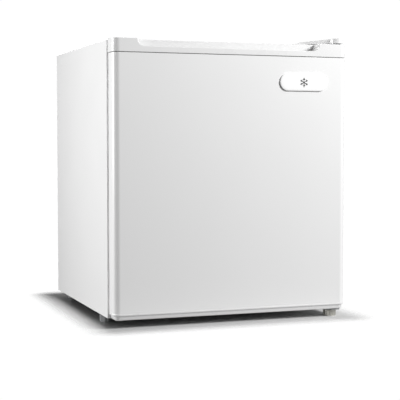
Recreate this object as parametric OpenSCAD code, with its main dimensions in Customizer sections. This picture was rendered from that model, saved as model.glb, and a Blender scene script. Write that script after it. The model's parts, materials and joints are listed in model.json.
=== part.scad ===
// Compact refrigerator with one door, a freezer box and a wire-on-tube condenser.
// Frame: origin at the middle of the footprint on the floor, +Z up, the door faces -Y,
// and the hinges are on the +X side. Millimetres.

/* [Cabinet] */
// Width over the painted side panels
cabinet_w = 440; // [410:5:530]
// Height of the cabinet's top above the floor
cabinet_top = 500; // [470:5:600]
// Depth from the front flange to the back panel
cabinet_d = 393; // [360:1:475]
// Height of the cabinet's underside above the floor
foot_h = 15; // [13:0.5:20]
// Thickness of the painted steel sheet
sheet_t = 1; // [0.6:0.1:1.5]
// Radius of the folds along the top edges
fold_r = 4; // [2:0.5:8]
// Width of the sheet's return at the front opening
hem_w = 12; // [10:0.5:14]
// Insulated side wall, outside to inside
side_wall = 34; // [30:1:42]
// Insulated top wall
top_wall = 38; // [34:1:48]
// Insulated back wall
back_wall = 40; // [30:1:50]
// Insulated floor
floor_wall = 34; // [32:1:42]
// Thickness of the moulded liners
liner_t = 2; // [1.2:0.1:3]
// Corner radius inside the liner
liner_r = 14; // [8:1:20]

/* [Machine space] */
// Depth of the compressor space under the step
machine_d = 150; // [145:1:180]
// Height of the compressor space
machine_h = 170; // [165:1:190]
// Insulation over and in front of the compressor space
step_wall = 34; // [30:1:42]
// Width of the compressor shell
compressor_w = 146; // [110:1:160]
// Depth of the compressor shell
compressor_d = 104; // [80:1:110]
// Height of the compressor shell
compressor_h = 118; // [90:1:125]
// Gap between the back panel and the rearmost wire
condenser_d = 32.5; // [20:0.5:50]
// Outside radius of the condenser tube
condenser_r = 2.4; // [1.5:0.1:3]
// Spacing of the condenser's runs
condenser_pitch = 28; // [24:1:34]

/* [Door] */
// Depth of the door from its face to its rear hem
door_d = 38; // [34:0.5:46]
// Gap between the door's hem and the cabinet
door_gap = 4; // [3.5:0.5:6]
// Radius of the door's front vertical edges
door_front_r = 12; // [6:0.5:16]
// Radius of the door's rear vertical edges
door_rear_r = 8; // [6:0.5:10]
// How far the steel skin sits inside the end caps
skin_inset = 0.5; // [0:0.1:1]
// Height of the top end cap
top_cap_h = 23.5; // [22:0.5:32]
// Height of the bottom end cap
bottom_cap_h = 11.5; // [10:0.5:12.5]
// Drop of the door's top below the cabinet's top
door_drop = 1.5; // [1.2:0.1:2.5]
// Rise of the door's bottom above the cabinet's underside
door_rise = 1; // [0.8:0.1:2]
// Wall of the end caps
cap_t = 2.5; // [2:0.1:3]
// Extra depth of the top cap behind the hem
cap_back = 2; // [0:0.5:2.5]
// Width of the magnetic gasket
gasket_w = 15; // [12:0.5:15]
// Height of the badge
badge_h = 31; // [20:1:40]
// Length of the badge
badge_w = 93; // [60:1:120]
// Thickness of the badge
badge_t = 3; // [1:0.5:4]

/* [Finger grip] */
// Drop of the front lip below the door's top
grip_drop = 13.5; // [8:0.5:14]
// Depth of the grip from the door's face to its back wall
grip_d = 26; // [20:1:28]
// Depth of the finger trough below the lip
trough_h = 14; // [8:1:20]
// Thickness of the front lip
lip_t = 5; // [3:0.5:8]
// Distance from the door's left edge to the grip
grip_left = 57; // [40:1:80]
// Distance from the door's right edge to the grip
grip_right = 68; // [60:1:90]

/* [Hinges and feet] */
// Distance of the hinge axis from the cabinet's side
hinge_in_x = 14; // [12:0.5:16]
// Distance of the hinge axis behind the door's face
hinge_in_y = 15.5; // [13:0.5:17]
// Radius of the hinge pins
pin_r = 3.5; // [2.5:0.1:4]
// Thickness of the hinge brackets
bracket_t = 2.5; // [2:0.1:3]
// Height of the hinge cover over the cabinet's top
hinge_cover_h = 10; // [8:0.5:16]
// Radius of the feet's threaded studs
stud_r = 4; // [3:0.1:5]
// Radius of the left levelling foot
left_foot_r = 17; // [12:0.5:19]
// Radius of the levelling foot under the hinge
right_foot_r = 12; // [8:0.5:13]

/* [Freezer box] */
// Height of the evaporator box
evaporator_h = 103; // [96:1:110]
// Width of the evaporator box
evaporator_w = 280; // [200:1:284]
// Depth of the evaporator box
evaporator_d = 225; // [160:1:230]
// Thickness of the aluminium sheet
evaporator_t = 1.6; // [1:0.1:2]
// Length of the flap below its pivot
flap_l = 88; // [76:1:88]
// Height of the drip tray
tray_h = 20; // [16:1:26]

/* [Shelf and racks] */
// Diameter of the shelf's frame wire
frame_wire = 5; // [4:0.5:6]
// Diameter of the shelf's cross wires
cross_wire = 3; // [2:0.5:3.5]
// Number of cross wires
cross_wires = 17; // [9:1:21]
// Height of the lower door rack
lower_rack_h = 62; // [40:1:70]
// Height of the upper door rack
upper_rack_h = 50; // [40:1:54]
// Depth of the door racks
rack_d = 58; // [45:1:60]
// Wall of the door racks
rack_t = 2.5; // [2:0.1:3]

/* [Hidden] */
$fn = 64;
run_gap = 0.05;      // radial clearance of a running fit
slip_gap = 0.3;      // clearance between parts that slide past each other
cut = 1;             // how far a cut runs past a face
elbow = 0.15;        // how much fatter a pipe's elbow is than the pipe

// Depth stations, front to rear
total_d = badge_t - skin_inset + door_d + door_gap + cabinet_d + condenser_d;
badge_y = -total_d / 2;
skin_y = badge_y + badge_t;
face_y = skin_y - skin_inset;
hem_y = face_y + door_d;
front_y = hem_y + door_gap;
back_y = front_y + cabinet_d;
rear_y = back_y + condenser_d;

// Inside of the cabinet
half_w = cabinet_w / 2;
room_x = half_w - side_wall;
room_z0 = foot_h + floor_wall;
room_z1 = cabinet_top - top_wall;
room_y1 = back_y - back_wall;
machine_y = back_y - machine_d;
machine_z = foot_h + machine_h;
step_y = machine_y - step_wall;
step_z = machine_z + step_wall - 2;
ledge_w = 5;
ledge_rise = 3;
ledge_h = ledge_rise + liner_t / 2;
ledges = [step_z + ledge_rise, step_z + ledge_rise + 66];

// Door
door_top = cabinet_top - door_drop;
door_bottom = foot_h + door_rise;
skin_z0 = door_bottom + bottom_cap_h;
skin_z1 = door_top - top_cap_h;
hinge_x = half_w - hinge_in_x;
hinge_y = face_y + hinge_in_y;
bush_r = pin_r + 2.5;
bush_flange_r = bush_r + 2;
bush_flange_t = 0.8;
socket_r = bush_r + 2.5;
gasket_x = hinge_x - 1;
gasket_z0 = room_z0 - 4 - gasket_w;
gasket_z1 = room_z1 + 4 + gasket_w;
flange_y = hem_y - 4.5;
bulge_x = room_x - 18;
bulge_z0 = room_z0 + 18;
bulge_z1 = room_z1 - 14;
bulge_y = front_y + 7.5;
lip_z = door_top - grip_drop;
grip_x0 = -half_w + grip_left;
grip_x1 = half_w - grip_right;
grip_y = face_y + grip_d;
badge_x = half_w - 86.5;
badge_z = cabinet_top - 71.5;
cap_rear_y = hem_y + cap_back;
plinth_inset = 1.5;
flange_x = gasket_x + 2;
flange_z0 = skin_z0 + 0.5;
flange_z1 = gasket_z1 + 2;

// Freezer box, hung from the liner's ceiling
hanger_h = 7;
box_x0 = -room_x + 10;
box_x1 = box_x0 + evaporator_w;
box_z1 = room_z1 - hanger_h;
box_z0 = box_z1 - evaporator_h;
box_y0 = front_y + 115.5;
box_y1 = box_y0 + evaporator_d;
frame_t = 8;
ear_t = 8;
pivot_y = box_y0 - frame_t - 7;
pivot_z = box_z1 - 4;
pivot_r = 3;
barrel_r = 5;
tray_drop = 12;
tray_z1 = box_z0 - tray_drop;
tray_x0 = box_x0 + 2;
tray_x1 = box_x1 - 2;

// Thermostat beside the freezer box
stat_x0 = box_x1 + 10;
stat_x1 = room_x - liner_r;
stat_x = (stat_x0 + stat_x1) / 2;
stat_y0 = box_y0;
stat_d = 135;
stat_z0 = room_z1 - 62;
stat_z = stat_z0 + 30;
stat_t = 2;
switch_y = stat_y0 + stat_t + 2;
neck_r = 5;
knob_r = 17;
knob_t = 14;
knob_gap = 1.5;
shaft_r = 3;
feeler_r = 1.2;
feeler_y = stat_y0 + 60;

// Shelf and door racks
shelf_z = ledges[0] + frame_wire / 2 + 0.2;
shelf_y0 = front_y + 105.5;
shelf_y1 = room_y1 - 12;
dike_w = 16;
dike_x = bulge_x - 2;
dike_y = front_y + 40.5;
dike_z0 = bulge_z0 + 8;
dike_z1 = box_z0 - 7;
rack_x = dike_x - dike_w - 2;
rack_y0 = bulge_y + 2;
peg_y = rack_y0 + 15;
peg_r = 3;
lower_rack_z = dike_z0;
upper_rack_z = dike_z0 + 142;
lower_peg_z = lower_rack_z + 40;
upper_peg_z = upper_rack_z + 34;

// Compressor and condenser
plate_t = 2;
compressor_x = half_w - 160;
compressor_y = machine_y + machine_d / 2;
compressor_z = foot_h + plate_t + 20;
bolt_x = compressor_w / 2 + 14;
bolt_y = 38;
bolt_r = 3;
grommet_z = foot_h + plate_t + 13;
grommet_r = 9;
neck_t = 2.5;
groove_r = 6;
shell_top = compressor_z + compressor_h;
relay_y = compressor_y - compressor_d / 2 - 3;
suction_x = compressor_x + 30;
suction_r = 3.2;
discharge_x = compressor_x - 30;
wall_pipe_y = back_y + 8;
wall_pipe_z = machine_z + 60;
wire_r = 0.75;
tube_y = rear_y - 2 * wire_r - condenser_r;
tab_y = tube_y - condenser_r - 2 * wire_r;
tab_t = 2;
runs = 9;
wires = 23;
run_x = half_w - 50;
run_z1 = cabinet_top - 32;
run_z0 = run_z1 - (runs - 1) * condenser_pitch;
riser_x = half_w - 20;
pipe_z = foot_h + machine_h - 40;
drier_r = 8;
drier_l = 50;
drier_x = -riser_x + 45;
drier_y = rear_y - drier_r - 2;
drier_z = pipe_z - 30;
gland_x = -half_w + 100;
ground_x = gland_x - 40;
gland_r = 3.6;
gland_rim = 3;
flange_h = 16;
flange_mid_z = foot_h + (plate_t + flange_h) / 2;

// Feet and brackets
left_foot_x = -half_w + 20;
left_foot_y = front_y + 65.5;
right_foot_x = hinge_x - 3;
right_foot_y = hinge_y + 15;
bracket_x0 = half_w - 70;
nut_r = 9;
nut_z1 = foot_h + 16;
rear_foot_x = half_w - 30;
rear_foot_y = back_y - 22;
rear_foot_r = 14;
rear_stud_r = 4;

// Screws, as X and Y or X and Z of each
screw_r = 2;
top_screws = [for (i = [0 : 2]) [bracket_x0 + 12 + 20 * i, front_y + 24]];
bottom_screws = [for (i = [0 : 1]) [bracket_x0 + 10 + 24 * i, front_y + 22]];
panel_screws = [for (x = [-half_w + 22, 0, half_w - 22], z = [machine_z + 14, cabinet_top - 14]) [x, z]];
wire_step = (2 * run_x - 16) / (wires - 1);
bracket_spots = [for (s = [-1, 1], z = [run_z0 + condenser_pitch / 2, run_z1 - condenser_pitch / 2])
    [s * (run_x - 8 - 1.5 * wire_step), z]];

// ---------------------------------------------------------------- helpers

// A box from its lowest corner to its highest
module block(lo, hi) {
    translate(lo) cube(hi - lo);
}

// Extrudes a drawing of X and Z along Y
module along_y(y0, y1) {
    translate([0, y1, 0]) rotate([90, 0, 0]) linear_extrude(y1 - y0) children();
}

// A cylinder along X, Y or Z
module rod_x(x0, x1, y, z, r) {
    translate([x0, y, z]) rotate([0, 90, 0]) cylinder(h = x1 - x0, r = r);
}

module rod_y(x, y0, y1, z, r) {
    translate([x, y0, z]) rotate([-90, 0, 0]) cylinder(h = y1 - y0, r = r);
}

module rod_z(x, y, z0, z1, r) {
    translate([x, y, z0]) cylinder(h = z1 - z0, r = r);
}

// A flat rectangle from corner to corner with round corners
module round_rect(lo, hi, r) {
    translate([lo[0] + r, lo[1]]) square([hi[0] - lo[0] - 2 * r, hi[1] - lo[1]]);
    translate([lo[0], lo[1] + r]) square([hi[0] - lo[0], hi[1] - lo[1] - 2 * r]);
    for (x = [lo[0] + r, hi[0] - r], y = [lo[1] + r, hi[1] - r])
        translate([x, y]) circle(r);
}

// A pan-head screw whose head sits on a face; dir is the way its shank points
module screw(pos, dir, r, length) {
    turn = dir[0] != 0 ? [0, 90 * dir[0], 0]
         : dir[1] != 0 ? [-90 * dir[1], 0, 0]
         : dir[2] < 0 ? [180, 0, 0] : [0, 0, 0];
    translate(pos) rotate(turn) {
        cylinder(h = length, r = r);
        difference() {
            translate([0, 0, -r]) cylinder(h = r, r = 2 * r);
            translate([-r, -r / 5, -r - cut]) cube([2 * r, r / 2.5, r / 2 + cut]);
            translate([-r / 5, -r, -r - cut]) cube([r / 2.5, 2 * r, r / 2 + cut]);
        }
    }
}

// A bent pipe through points that step along one axis at a time
module pipe(points, r) {
    for (i = [0 : len(points) - 2]) {
        a = points[i];
        b = points[i + 1];
        lo = [min(a[0], b[0]), min(a[1], b[1]), min(a[2], b[2])];
        hi = [max(a[0], b[0]), max(a[1], b[1]), max(a[2], b[2])];
        if (hi[0] > lo[0]) rod_x(lo[0], hi[0], a[1], a[2], r);
        if (hi[1] > lo[1]) rod_y(a[0], lo[1], hi[1], a[2], r);
        if (hi[2] > lo[2]) rod_z(a[0], a[1], lo[2], hi[2], r);
    }
    for (i = [1 : 1 : len(points) - 2])
        translate(points[i]) sphere(r + elbow);
}

// ---------------------------------------------------------------- cabinet

// Outline of the sheet-metal shell in X and Z, moved inwards by inset
module shell_outline(inset) {
    r = fold_r - inset;
    x = half_w - inset;
    z = cabinet_top - inset;
    translate([-x, foot_h]) square([2 * x, z - r - foot_h]);
    translate([-x + r, foot_h]) square([2 * (x - r), z - foot_h]);
    for (s = [-1, 1])
        translate([s * (x - r), z - r]) circle(r);
}

module cabinet_wrapper() color("white") difference() {
    union() {
        wrapper_sheet();
        wrapper_hem();
    }
    for (p = top_screws)
        rod_z(p[0], p[1], cabinet_top - sheet_t - cut, cabinet_top + cut, screw_r);
}

module wrapper_sheet() {
    along_y(front_y, back_y) difference() {
        shell_outline(0);
        intersection() {
            shell_outline(sheet_t);
            translate([-half_w, foot_h - cut]) square([cabinet_w, cabinet_top]);
        }
    }
}

module wrapper_hem() {
    along_y(front_y, front_y + sheet_t) difference() {
        shell_outline(0);
        translate([-half_w + hem_w, foot_h - cut])
            square([cabinet_w - 2 * hem_w, cabinet_top - foot_h - hem_w + cut]);
    }
}

module back_panel() color("gainsboro") difference() {
    along_y(back_y - sheet_t, back_y) intersection() {
        shell_outline(sheet_t);
        translate([-half_w, machine_z]) square([cabinet_w, cabinet_top]);
    }
    for (p = concat(panel_screws, bracket_spots))
        rod_y(p[0], back_y - sheet_t - cut, back_y + cut, p[1], screw_r);
}

module base_plate() color("silver") difference() {
    union() {
        x = half_w - sheet_t;
        z = foot_h + sheet_t;
        block([-half_w + hem_w, front_y, foot_h], [half_w - hem_w, front_y + sheet_t, foot_h + hem_w]);
        block([-x, front_y + sheet_t, foot_h], [x, machine_y, z]);
        block([-x, machine_y - sheet_t, foot_h], [x, machine_y, machine_z]);
        block([-x, machine_y - sheet_t, machine_z - sheet_t], [x, back_y - sheet_t, machine_z]);
    }
    rod_z(left_foot_x, left_foot_y, foot_h - cut, foot_h + sheet_t + cut, stud_r + slip_gap);
    for (p = bottom_screws)
        rod_z(p[0], p[1], foot_h - cut, foot_h + sheet_t + cut, screw_r);
}

// The space inside the liner, grown outwards by g
module liner_room(g, y0) {
    difference() {
        along_y(y0, room_y1 + g)
            round_rect([-room_x - g, room_z0 - g], [room_x + g, room_z1 + g], liner_r + g);
        block([-half_w, step_y + g, room_z0 - floor_wall], [half_w, back_y, step_z - g]);
    }
}

module inner_liner() color("whitesmoke") {
    difference() {
        union() {
            liner_room(liner_t, front_y + liner_t);
            block([-half_w + hem_w, front_y, foot_h + hem_w],
                  [half_w - hem_w, front_y + liner_t, cabinet_top - hem_w]);
        }
        liner_room(0, front_y - cut);
    }
    for (z = ledges, s = [-1, 1])
        block([s > 0 ? room_x - ledge_w : -room_x - liner_t / 2, front_y + 35, z - ledge_h],
              [s > 0 ? room_x + liner_t / 2 : -room_x + ledge_w, room_y1 - 10, z]);
}

module insulation_foam() color("khaki") difference() {
    along_y(front_y + sheet_t, back_y - sheet_t) shell_outline(sheet_t);
    liner_room(liner_t, front_y);
    block([-half_w, front_y, foot_h + hem_w], [half_w, front_y + liner_t, cabinet_top - hem_w]);
    block([-half_w, front_y, foot_h - cut], [half_w, back_y, foot_h + sheet_t]);
    block([-half_w, machine_y - sheet_t, foot_h - cut], [half_w, back_y, machine_z]);
    rod_z(left_foot_x, left_foot_y, foot_h, nut_z1, nut_r);
    for (p = top_screws)
        rod_z(p[0], p[1], cabinet_top - 20, cabinet_top, screw_r + run_gap);
    for (p = bottom_screws)
        rod_z(p[0], p[1], foot_h, foot_h + 16, screw_r + run_gap);
    for (p = concat(panel_screws, bracket_spots))
        rod_y(p[0], back_y - 12, back_y, p[1], screw_r + run_gap);
}

// ---------------------------------------------------------------- hinges and feet

// Plan of a hinge bracket: a round nose at the pin and a straight foot on the cabinet
module bracket_plan(grow) {
    translate([hinge_x, hinge_y]) circle(9 + grow);
    polygon([[hinge_x + 9 + grow, hinge_y], [half_w - 4 + grow, front_y + 10],
             [half_w - 4 + grow, front_y + 36 + grow], [bracket_x0 - grow, front_y + 36 + grow],
             [bracket_x0 - grow, front_y + 12], [hinge_x - 9 - grow, hinge_y]]);
}

module top_hinge_bracket() color("silver") {
    difference() {
        translate([0, 0, cabinet_top]) linear_extrude(bracket_t) bracket_plan(0);
        for (p = top_screws)
            rod_z(p[0], p[1], cabinet_top - cut, cabinet_top + bracket_t + cut, screw_r + 0.2);
    }
    rod_z(hinge_x, hinge_y, door_top - 18, cabinet_top + cut, pin_r);
}

module top_hinge_screws() color("silver") {
    for (p = top_screws)
        screw([p[0], p[1], cabinet_top + bracket_t], [0, 0, -1], screw_r, 14);
}

// Plan of the cover over the top bracket, moved outwards by grow
module cover_plan(grow) {
    nose_r = 9.5 + grow;
    x0 = bracket_x0 - 1 - grow;
    x1 = half_w - 3 + grow;
    y1 = front_y + 37 + grow;
    translate([hinge_x, hinge_y]) circle(nose_r);
    polygon([[hinge_x + nose_r, hinge_y], [x1, front_y + 10], [x1, y1], [x0, y1],
             [x0, front_y + 11], [hinge_x - nose_r, hinge_y]]);
}

module hinge_cover() color("white") {
    wall = 2.2;
    inside = cabinet_top + bracket_t + 3;
    difference() {
        translate([0, 0, cabinet_top]) linear_extrude(hinge_cover_h) cover_plan(0.4 + wall);
        translate([0, 0, cabinet_top - cut]) linear_extrude(inside - cabinet_top + cut) cover_plan(0.4);
        block([0, badge_y - cut, cabinet_top - cut], [half_w + cut, front_y, cabinet_top + 0.8]);
    }
}

module hinge_blank_cover() color("white") {
    plate = 1.2;
    plug_h = 2.6;
    translate([0, 0, cabinet_top]) linear_extrude(plate)
        round_rect([-half_w + 5, front_y + 3], [-half_w + 48, front_y + 34], 6);
    rod_z(-half_w + 14, front_y + 12, cabinet_top + plate / 2, cabinet_top + plug_h, 3);
}

module bottom_hinge_bracket() color("silver") {
    z0 = foot_h - bracket_t;
    difference() {
        translate([0, 0, z0]) linear_extrude(bracket_t) union() {
            bracket_plan(0);
            translate([right_foot_x, right_foot_y]) circle(stud_r + 5);
        }
        for (p = bottom_screws)
            rod_z(p[0], p[1], z0 - cut, foot_h + cut, screw_r + 0.2);
        rod_z(right_foot_x, right_foot_y, z0 - cut, foot_h + cut, stud_r + run_gap);
    }
    rod_z(hinge_x, hinge_y, foot_h - cut, door_bottom + bottom_cap_h - 1, pin_r);
}

module bottom_hinge_screws() color("silver") {
    for (p = bottom_screws)
        screw([p[0], p[1], foot_h - bracket_t], [0, 0, 1], screw_r, 14);
}

module left_foot_nut() color("silver") difference() {
    rod_z(left_foot_x, left_foot_y, foot_h + sheet_t, nut_z1, nut_r);
    rod_z(left_foot_x, left_foot_y, foot_h, nut_z1 + cut, stud_r + run_gap);
}

// A levelling foot: round pad with a knurled edge and a threaded stud
module levelling_foot(x, y, r, pad_h, stud_z) {
    difference() {
        union() {
            rod_z(x, y, 0, 2, r - 1);
            rod_z(x, y, 1.5, pad_h, r);
        }
        for (a = [0 : 30 : 330])
            rod_z(x + (r + 1) * cos(a), y + (r + 1) * sin(a), -cut, pad_h + cut, 2);
    }
    rod_z(x, y, pad_h - cut, stud_z, stud_r);
}

module left_foot() color("dimgray")
    levelling_foot(left_foot_x, left_foot_y, left_foot_r, foot_h - 3, nut_z1 - 2);

module right_foot() color("dimgray")
    levelling_foot(right_foot_x, right_foot_y, right_foot_r, foot_h - bracket_t - 2, foot_h + 0.3);

module rear_feet() color("dimgray") {
    for (s = [-1, 1]) {
        rod_z(s * rear_foot_x, rear_foot_y, 0, foot_h, rear_foot_r);
        rod_z(s * rear_foot_x, rear_foot_y, foot_h - cut, foot_h + plate_t + 3, rear_stud_r);
    }
}

// ---------------------------------------------------------------- machine space

// Outline of the compressor's shell, a rectangle with half-round ends
module compressor_outline(grow) {
    r = compressor_d / 2 + grow;
    x = compressor_w / 2 - compressor_d / 2;
    translate([-x, -r]) square([2 * x, 2 * r]);
    for (s = [-1, 1])
        translate([s * x, 0]) circle(r);
}

// Places its children at the four compressor bolts
module at_bolts() {
    for (sx = [-1, 1], sy = [-1, 1])
        translate([compressor_x + sx * bolt_x, compressor_y + sy * bolt_y, 0]) children();
}

module compressor_plate() color("silver") difference() {
    union() {
        x = half_w - sheet_t;
        block([-x, machine_y + slip_gap, foot_h], [x, back_y, foot_h + plate_t]);
        block([-x, back_y - plate_t, foot_h], [x, back_y, foot_h + flange_h]);
    }
    at_bolts() cylinder_between(foot_h - cut, foot_h + plate_t + cut, bolt_r + run_gap);
    for (s = [-1, 1])
        rod_z(s * rear_foot_x, rear_foot_y, foot_h - cut, foot_h + plate_t + cut, rear_stud_r + run_gap);
    rod_y(ground_x, back_y - plate_t - cut, back_y + cut, flange_mid_z, screw_r);
    rod_y(gland_x, back_y - plate_t - cut, back_y + cut, flange_mid_z, gland_r + gland_rim - 1 + run_gap);
}

module compressor() color("#222222") {
    z0 = compressor_z;
    z1 = compressor_z + compressor_h;
    seam = z0 + 0.55 * compressor_h;
    translate([compressor_x, compressor_y, 0]) {
        translate([0, 0, z0]) linear_extrude(8) compressor_outline(-6);
        translate([0, 0, z0 + 7]) linear_extrude(compressor_h - 15) compressor_outline(0);
        translate([0, 0, z1 - 9]) linear_extrude(9) compressor_outline(-6);
        translate([0, 0, seam]) linear_extrude(4) compressor_outline(3);
    }
    difference() {
        block([compressor_x - bolt_x - 14, compressor_y - bolt_y - 12, grommet_z],
              [compressor_x + bolt_x + 14, compressor_y + bolt_y + 12, grommet_z + neck_t]);
        at_bolts() cylinder_between(grommet_z - cut, grommet_z + neck_t + cut, groove_r + run_gap);
    }
    block([compressor_x - 40, compressor_y - 30, grommet_z + 2],
          [compressor_x + 40, compressor_y + 30, z0 + 1]);
}

module compressor_grommets() color("#333333") at_bolts() difference() {
    union() {
        cylinder_between(foot_h + plate_t, grommet_z, grommet_r);
        cylinder_between(grommet_z, grommet_z + neck_t, groove_r);
        cylinder_between(grommet_z + neck_t, grommet_z + 6, grommet_r);
    }
    cylinder_between(foot_h, grommet_z + 10, bolt_r + 0.2);
}

module cylinder_between(z0, z1, r) {
    translate([0, 0, z0]) cylinder(h = z1 - z0, r = r);
}

module compressor_bolts() color("silver") at_bolts() {
    cylinder_between(foot_h, grommet_z + 7, bolt_r);
    cylinder_between(grommet_z + 6, grommet_z + 7.5, 8);
    translate([0, 0, grommet_z + 7.5]) cylinder(h = 4.5, r = 5.5, $fn = 6);
}

module start_relay_cover() color("#1c1c1c") {
    x = compressor_x - 25;
    z = compressor_z + 22;
    difference() {
        block([x - 26, machine_y + 2, z], [x + 26, relay_y, z + 40]);
        block([x - 24, machine_y + 4, z + 2], [x + 24, relay_y + cut, z + 38]);
    }
}

module suction_tube() color("peru") {
    y = compressor_y - 20;
    z = shell_top + 8;
    pipe([[suction_x, y, shell_top], [suction_x, y, z], [suction_x, wall_pipe_y, z],
          [suction_x, wall_pipe_y, wall_pipe_z], [suction_x, back_y, wall_pipe_z]], suction_r);
}

module discharge_tube() color("peru") {
    y = compressor_y + 20;
    z = shell_top + 9;
    low_z = pipe_z - 20;
    pipe([[discharge_x, y, shell_top], [discharge_x, y, z], [discharge_x, tube_y, z],
          [discharge_x, tube_y, low_z], [riser_x, tube_y, low_z], [riser_x, tube_y, pipe_z]],
         condenser_r);
}

module filter_drier() color("peru") {
    pipe([[-riser_x, tube_y, pipe_z], [-riser_x, tube_y, drier_z], [-riser_x, drier_y, drier_z],
          [drier_x - drier_l / 2 + cut, drier_y, drier_z]], condenser_r);
    rod_x(drier_x - drier_l / 2, drier_x + drier_l / 2, drier_y, drier_z, drier_r);
}

module capillary_tube() color("peru") {
    x0 = drier_x + drier_l / 2;
    x1 = x0 + 20;
    pipe([[x0, drier_y, drier_z], [x1, drier_y, drier_z], [x1, wall_pipe_y, drier_z],
          [x1, wall_pipe_y, wall_pipe_z], [x1, back_y, wall_pipe_z]], feeler_r);
}

module condenser_tube() color("#2a2a2a") {
    r = condenser_r;
    bend = condenser_pitch / 2;
    for (i = [0 : runs - 1]) {
        z = run_z1 - i * condenser_pitch;
        side = i % 2 == 0 ? -1 : 1;
        rod_x(-run_x, run_x, tube_y, z, r);
        if (i < runs - 1)
            translate([side * run_x, tube_y, z - bend]) rotate([90, side * 90, 0])
                rotate_extrude(angle = 180) translate([bend, 0]) circle(r, $fn = 24);
    }
    drop = riser_x - run_x;
    for (s = [-1, 1]) {
        z = s > 0 ? run_z1 : run_z0;
        translate([s * run_x, tube_y, z - drop]) rotate([90, s > 0 ? 0 : -90, 0])
            rotate_extrude(angle = 90) translate([drop, 0]) circle(r, $fn = 24);
        rod_z(s * riser_x, tube_y, pipe_z, z - drop, r);
    }
}

module condenser_wires() color("#2a2a2a") {
    for (i = [0 : wires - 1], s = [-1, 1])
        rod_z(-run_x + 8 + i * wire_step, tube_y + s * (condenser_r + wire_r),
              run_z0 - 12, run_z1 + 12, wire_r);
}

module condenser_brackets() color("#2a2a2a") {
    for (p = bracket_spots) difference() {
        union() {
            rod_y(p[0], back_y, tab_y - 1, p[1], 6);
            block([p[0] - 16, tab_y - tab_t, p[1] - 9], [p[0] + 16, tab_y, p[1] + 9]);
        }
        rod_y(p[0], back_y - cut, rear_y, p[1], screw_r);
    }
}

module condenser_screws() color("silver") {
    for (p = bracket_spots)
        screw([p[0], tab_y, p[1]], [0, -1, 0], screw_r, tab_y - back_y + 10);
}

module cord_gland() color("#1c1c1c") difference() {
    union() {
        rod_y(gland_x, back_y, back_y + 4, flange_mid_z, gland_r + gland_rim);
        rod_y(gland_x, back_y - plate_t - cut, back_y + cut, flange_mid_z, gland_r + gland_rim - 1);
        rod_y(gland_x, back_y - plate_t - 3, back_y - plate_t, flange_mid_z, gland_r + gland_rim);
    }
    rod_y(gland_x, back_y - 10, back_y + 10, flange_mid_z, gland_r);
}

module ground_screw() color("gold")
    screw([ground_x, back_y, flange_mid_z], [0, -1, 0], screw_r, 8);

module back_panel_screws() color("silver") {
    for (p = panel_screws)
        screw([p[0], back_y, p[1]], [0, -1, 0], screw_r, 10);
}

// ---------------------------------------------------------------- freezer box

module evaporator_box() color("lightgray") {
    t = evaporator_t;
    difference() {
        block([box_x0, box_y0, box_z0], [box_x1, box_y1, box_z1]);
        block([box_x0 + t, box_y0 - cut, box_z0 + t], [box_x1 - t, box_y1 - t, box_z1 - t]);
    }
    for (i = [0 : 5])
        rod_y(box_x0 + 30 + i * (evaporator_w - 60) / 5, box_y0 + 20, box_y1 - 20, box_z0 + t / 2, 2.2);
}

module evaporator_hangers() color("white") {
    for (x = [box_x0 + 20, box_x1 - 20], y = [box_y0 + 20, box_y1 - 20])
        rod_z(x, y, box_z1, room_z1, 6);
}

module freezer_frame() color("white") {
    difference() {
        block([box_x0 - 4, box_y0 - frame_t, box_z0 - 4], [box_x1 + 4, box_y0, box_z1 + 4]);
        block([box_x0 + 6, box_y0 - frame_t - cut, box_z0 + 16], [box_x1 - 6, box_y0 + cut, box_z1 - 11]);
    }
    for (x = [box_x0 - 4, box_x1 + 4 - ear_t]) difference() {
        block([x, pivot_y - 6, pivot_z - 8], [x + ear_t, box_y0 - frame_t, pivot_z + 6]);
        rod_x(x - cut, x + ear_t + cut, pivot_y, pivot_z, pivot_r + run_gap);
    }
}

module freezer_flap() color("aliceblue") {
    x0 = box_x0 + ear_t - 4 + slip_gap;
    x1 = box_x1 - ear_t + 4 - slip_gap;
    z0 = pivot_z - flap_l;
    rod_x(x0, x1, pivot_y, pivot_z, barrel_r);
    rod_x(box_x0 - 4, box_x1 + 4, pivot_y, pivot_z, pivot_r);
    block([x0, pivot_y - 1.5, z0], [x1, pivot_y + 1.5, pivot_z]);
    block([x0, pivot_y + 1, z0 + 4], [x0 + 2, pivot_y + 5, pivot_z - 8]);
    block([x1 - 2, pivot_y + 1, z0 + 4], [x1, pivot_y + 5, pivot_z - 8]);
    block([x0 + 90, pivot_y - 5, z0], [x1 - 90, pivot_y - 1, z0 + 2.5]);
}

module tray_rails() color("white") {
    for (s = [-1, 1]) {
        x = s < 0 ? box_x0 - 4 : box_x1 + 2;
        block([x, box_y0 + slip_gap, tray_z1 - 4.5], [x + 2, box_y1 - 10, box_z0]);
        block([s < 0 ? x : x - 8, box_y0 + slip_gap, box_z0 - 2],
              [s < 0 ? x + 10 : x + 2, box_y1 - 10, box_z0]);
        block([s < 0 ? x : x - 7, box_y0 + slip_gap, tray_z1 - 4.5],
              [s < 0 ? x + 9 : x + 2, box_y1 - 10, tray_z1 - 2.3]);
    }
}

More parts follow.
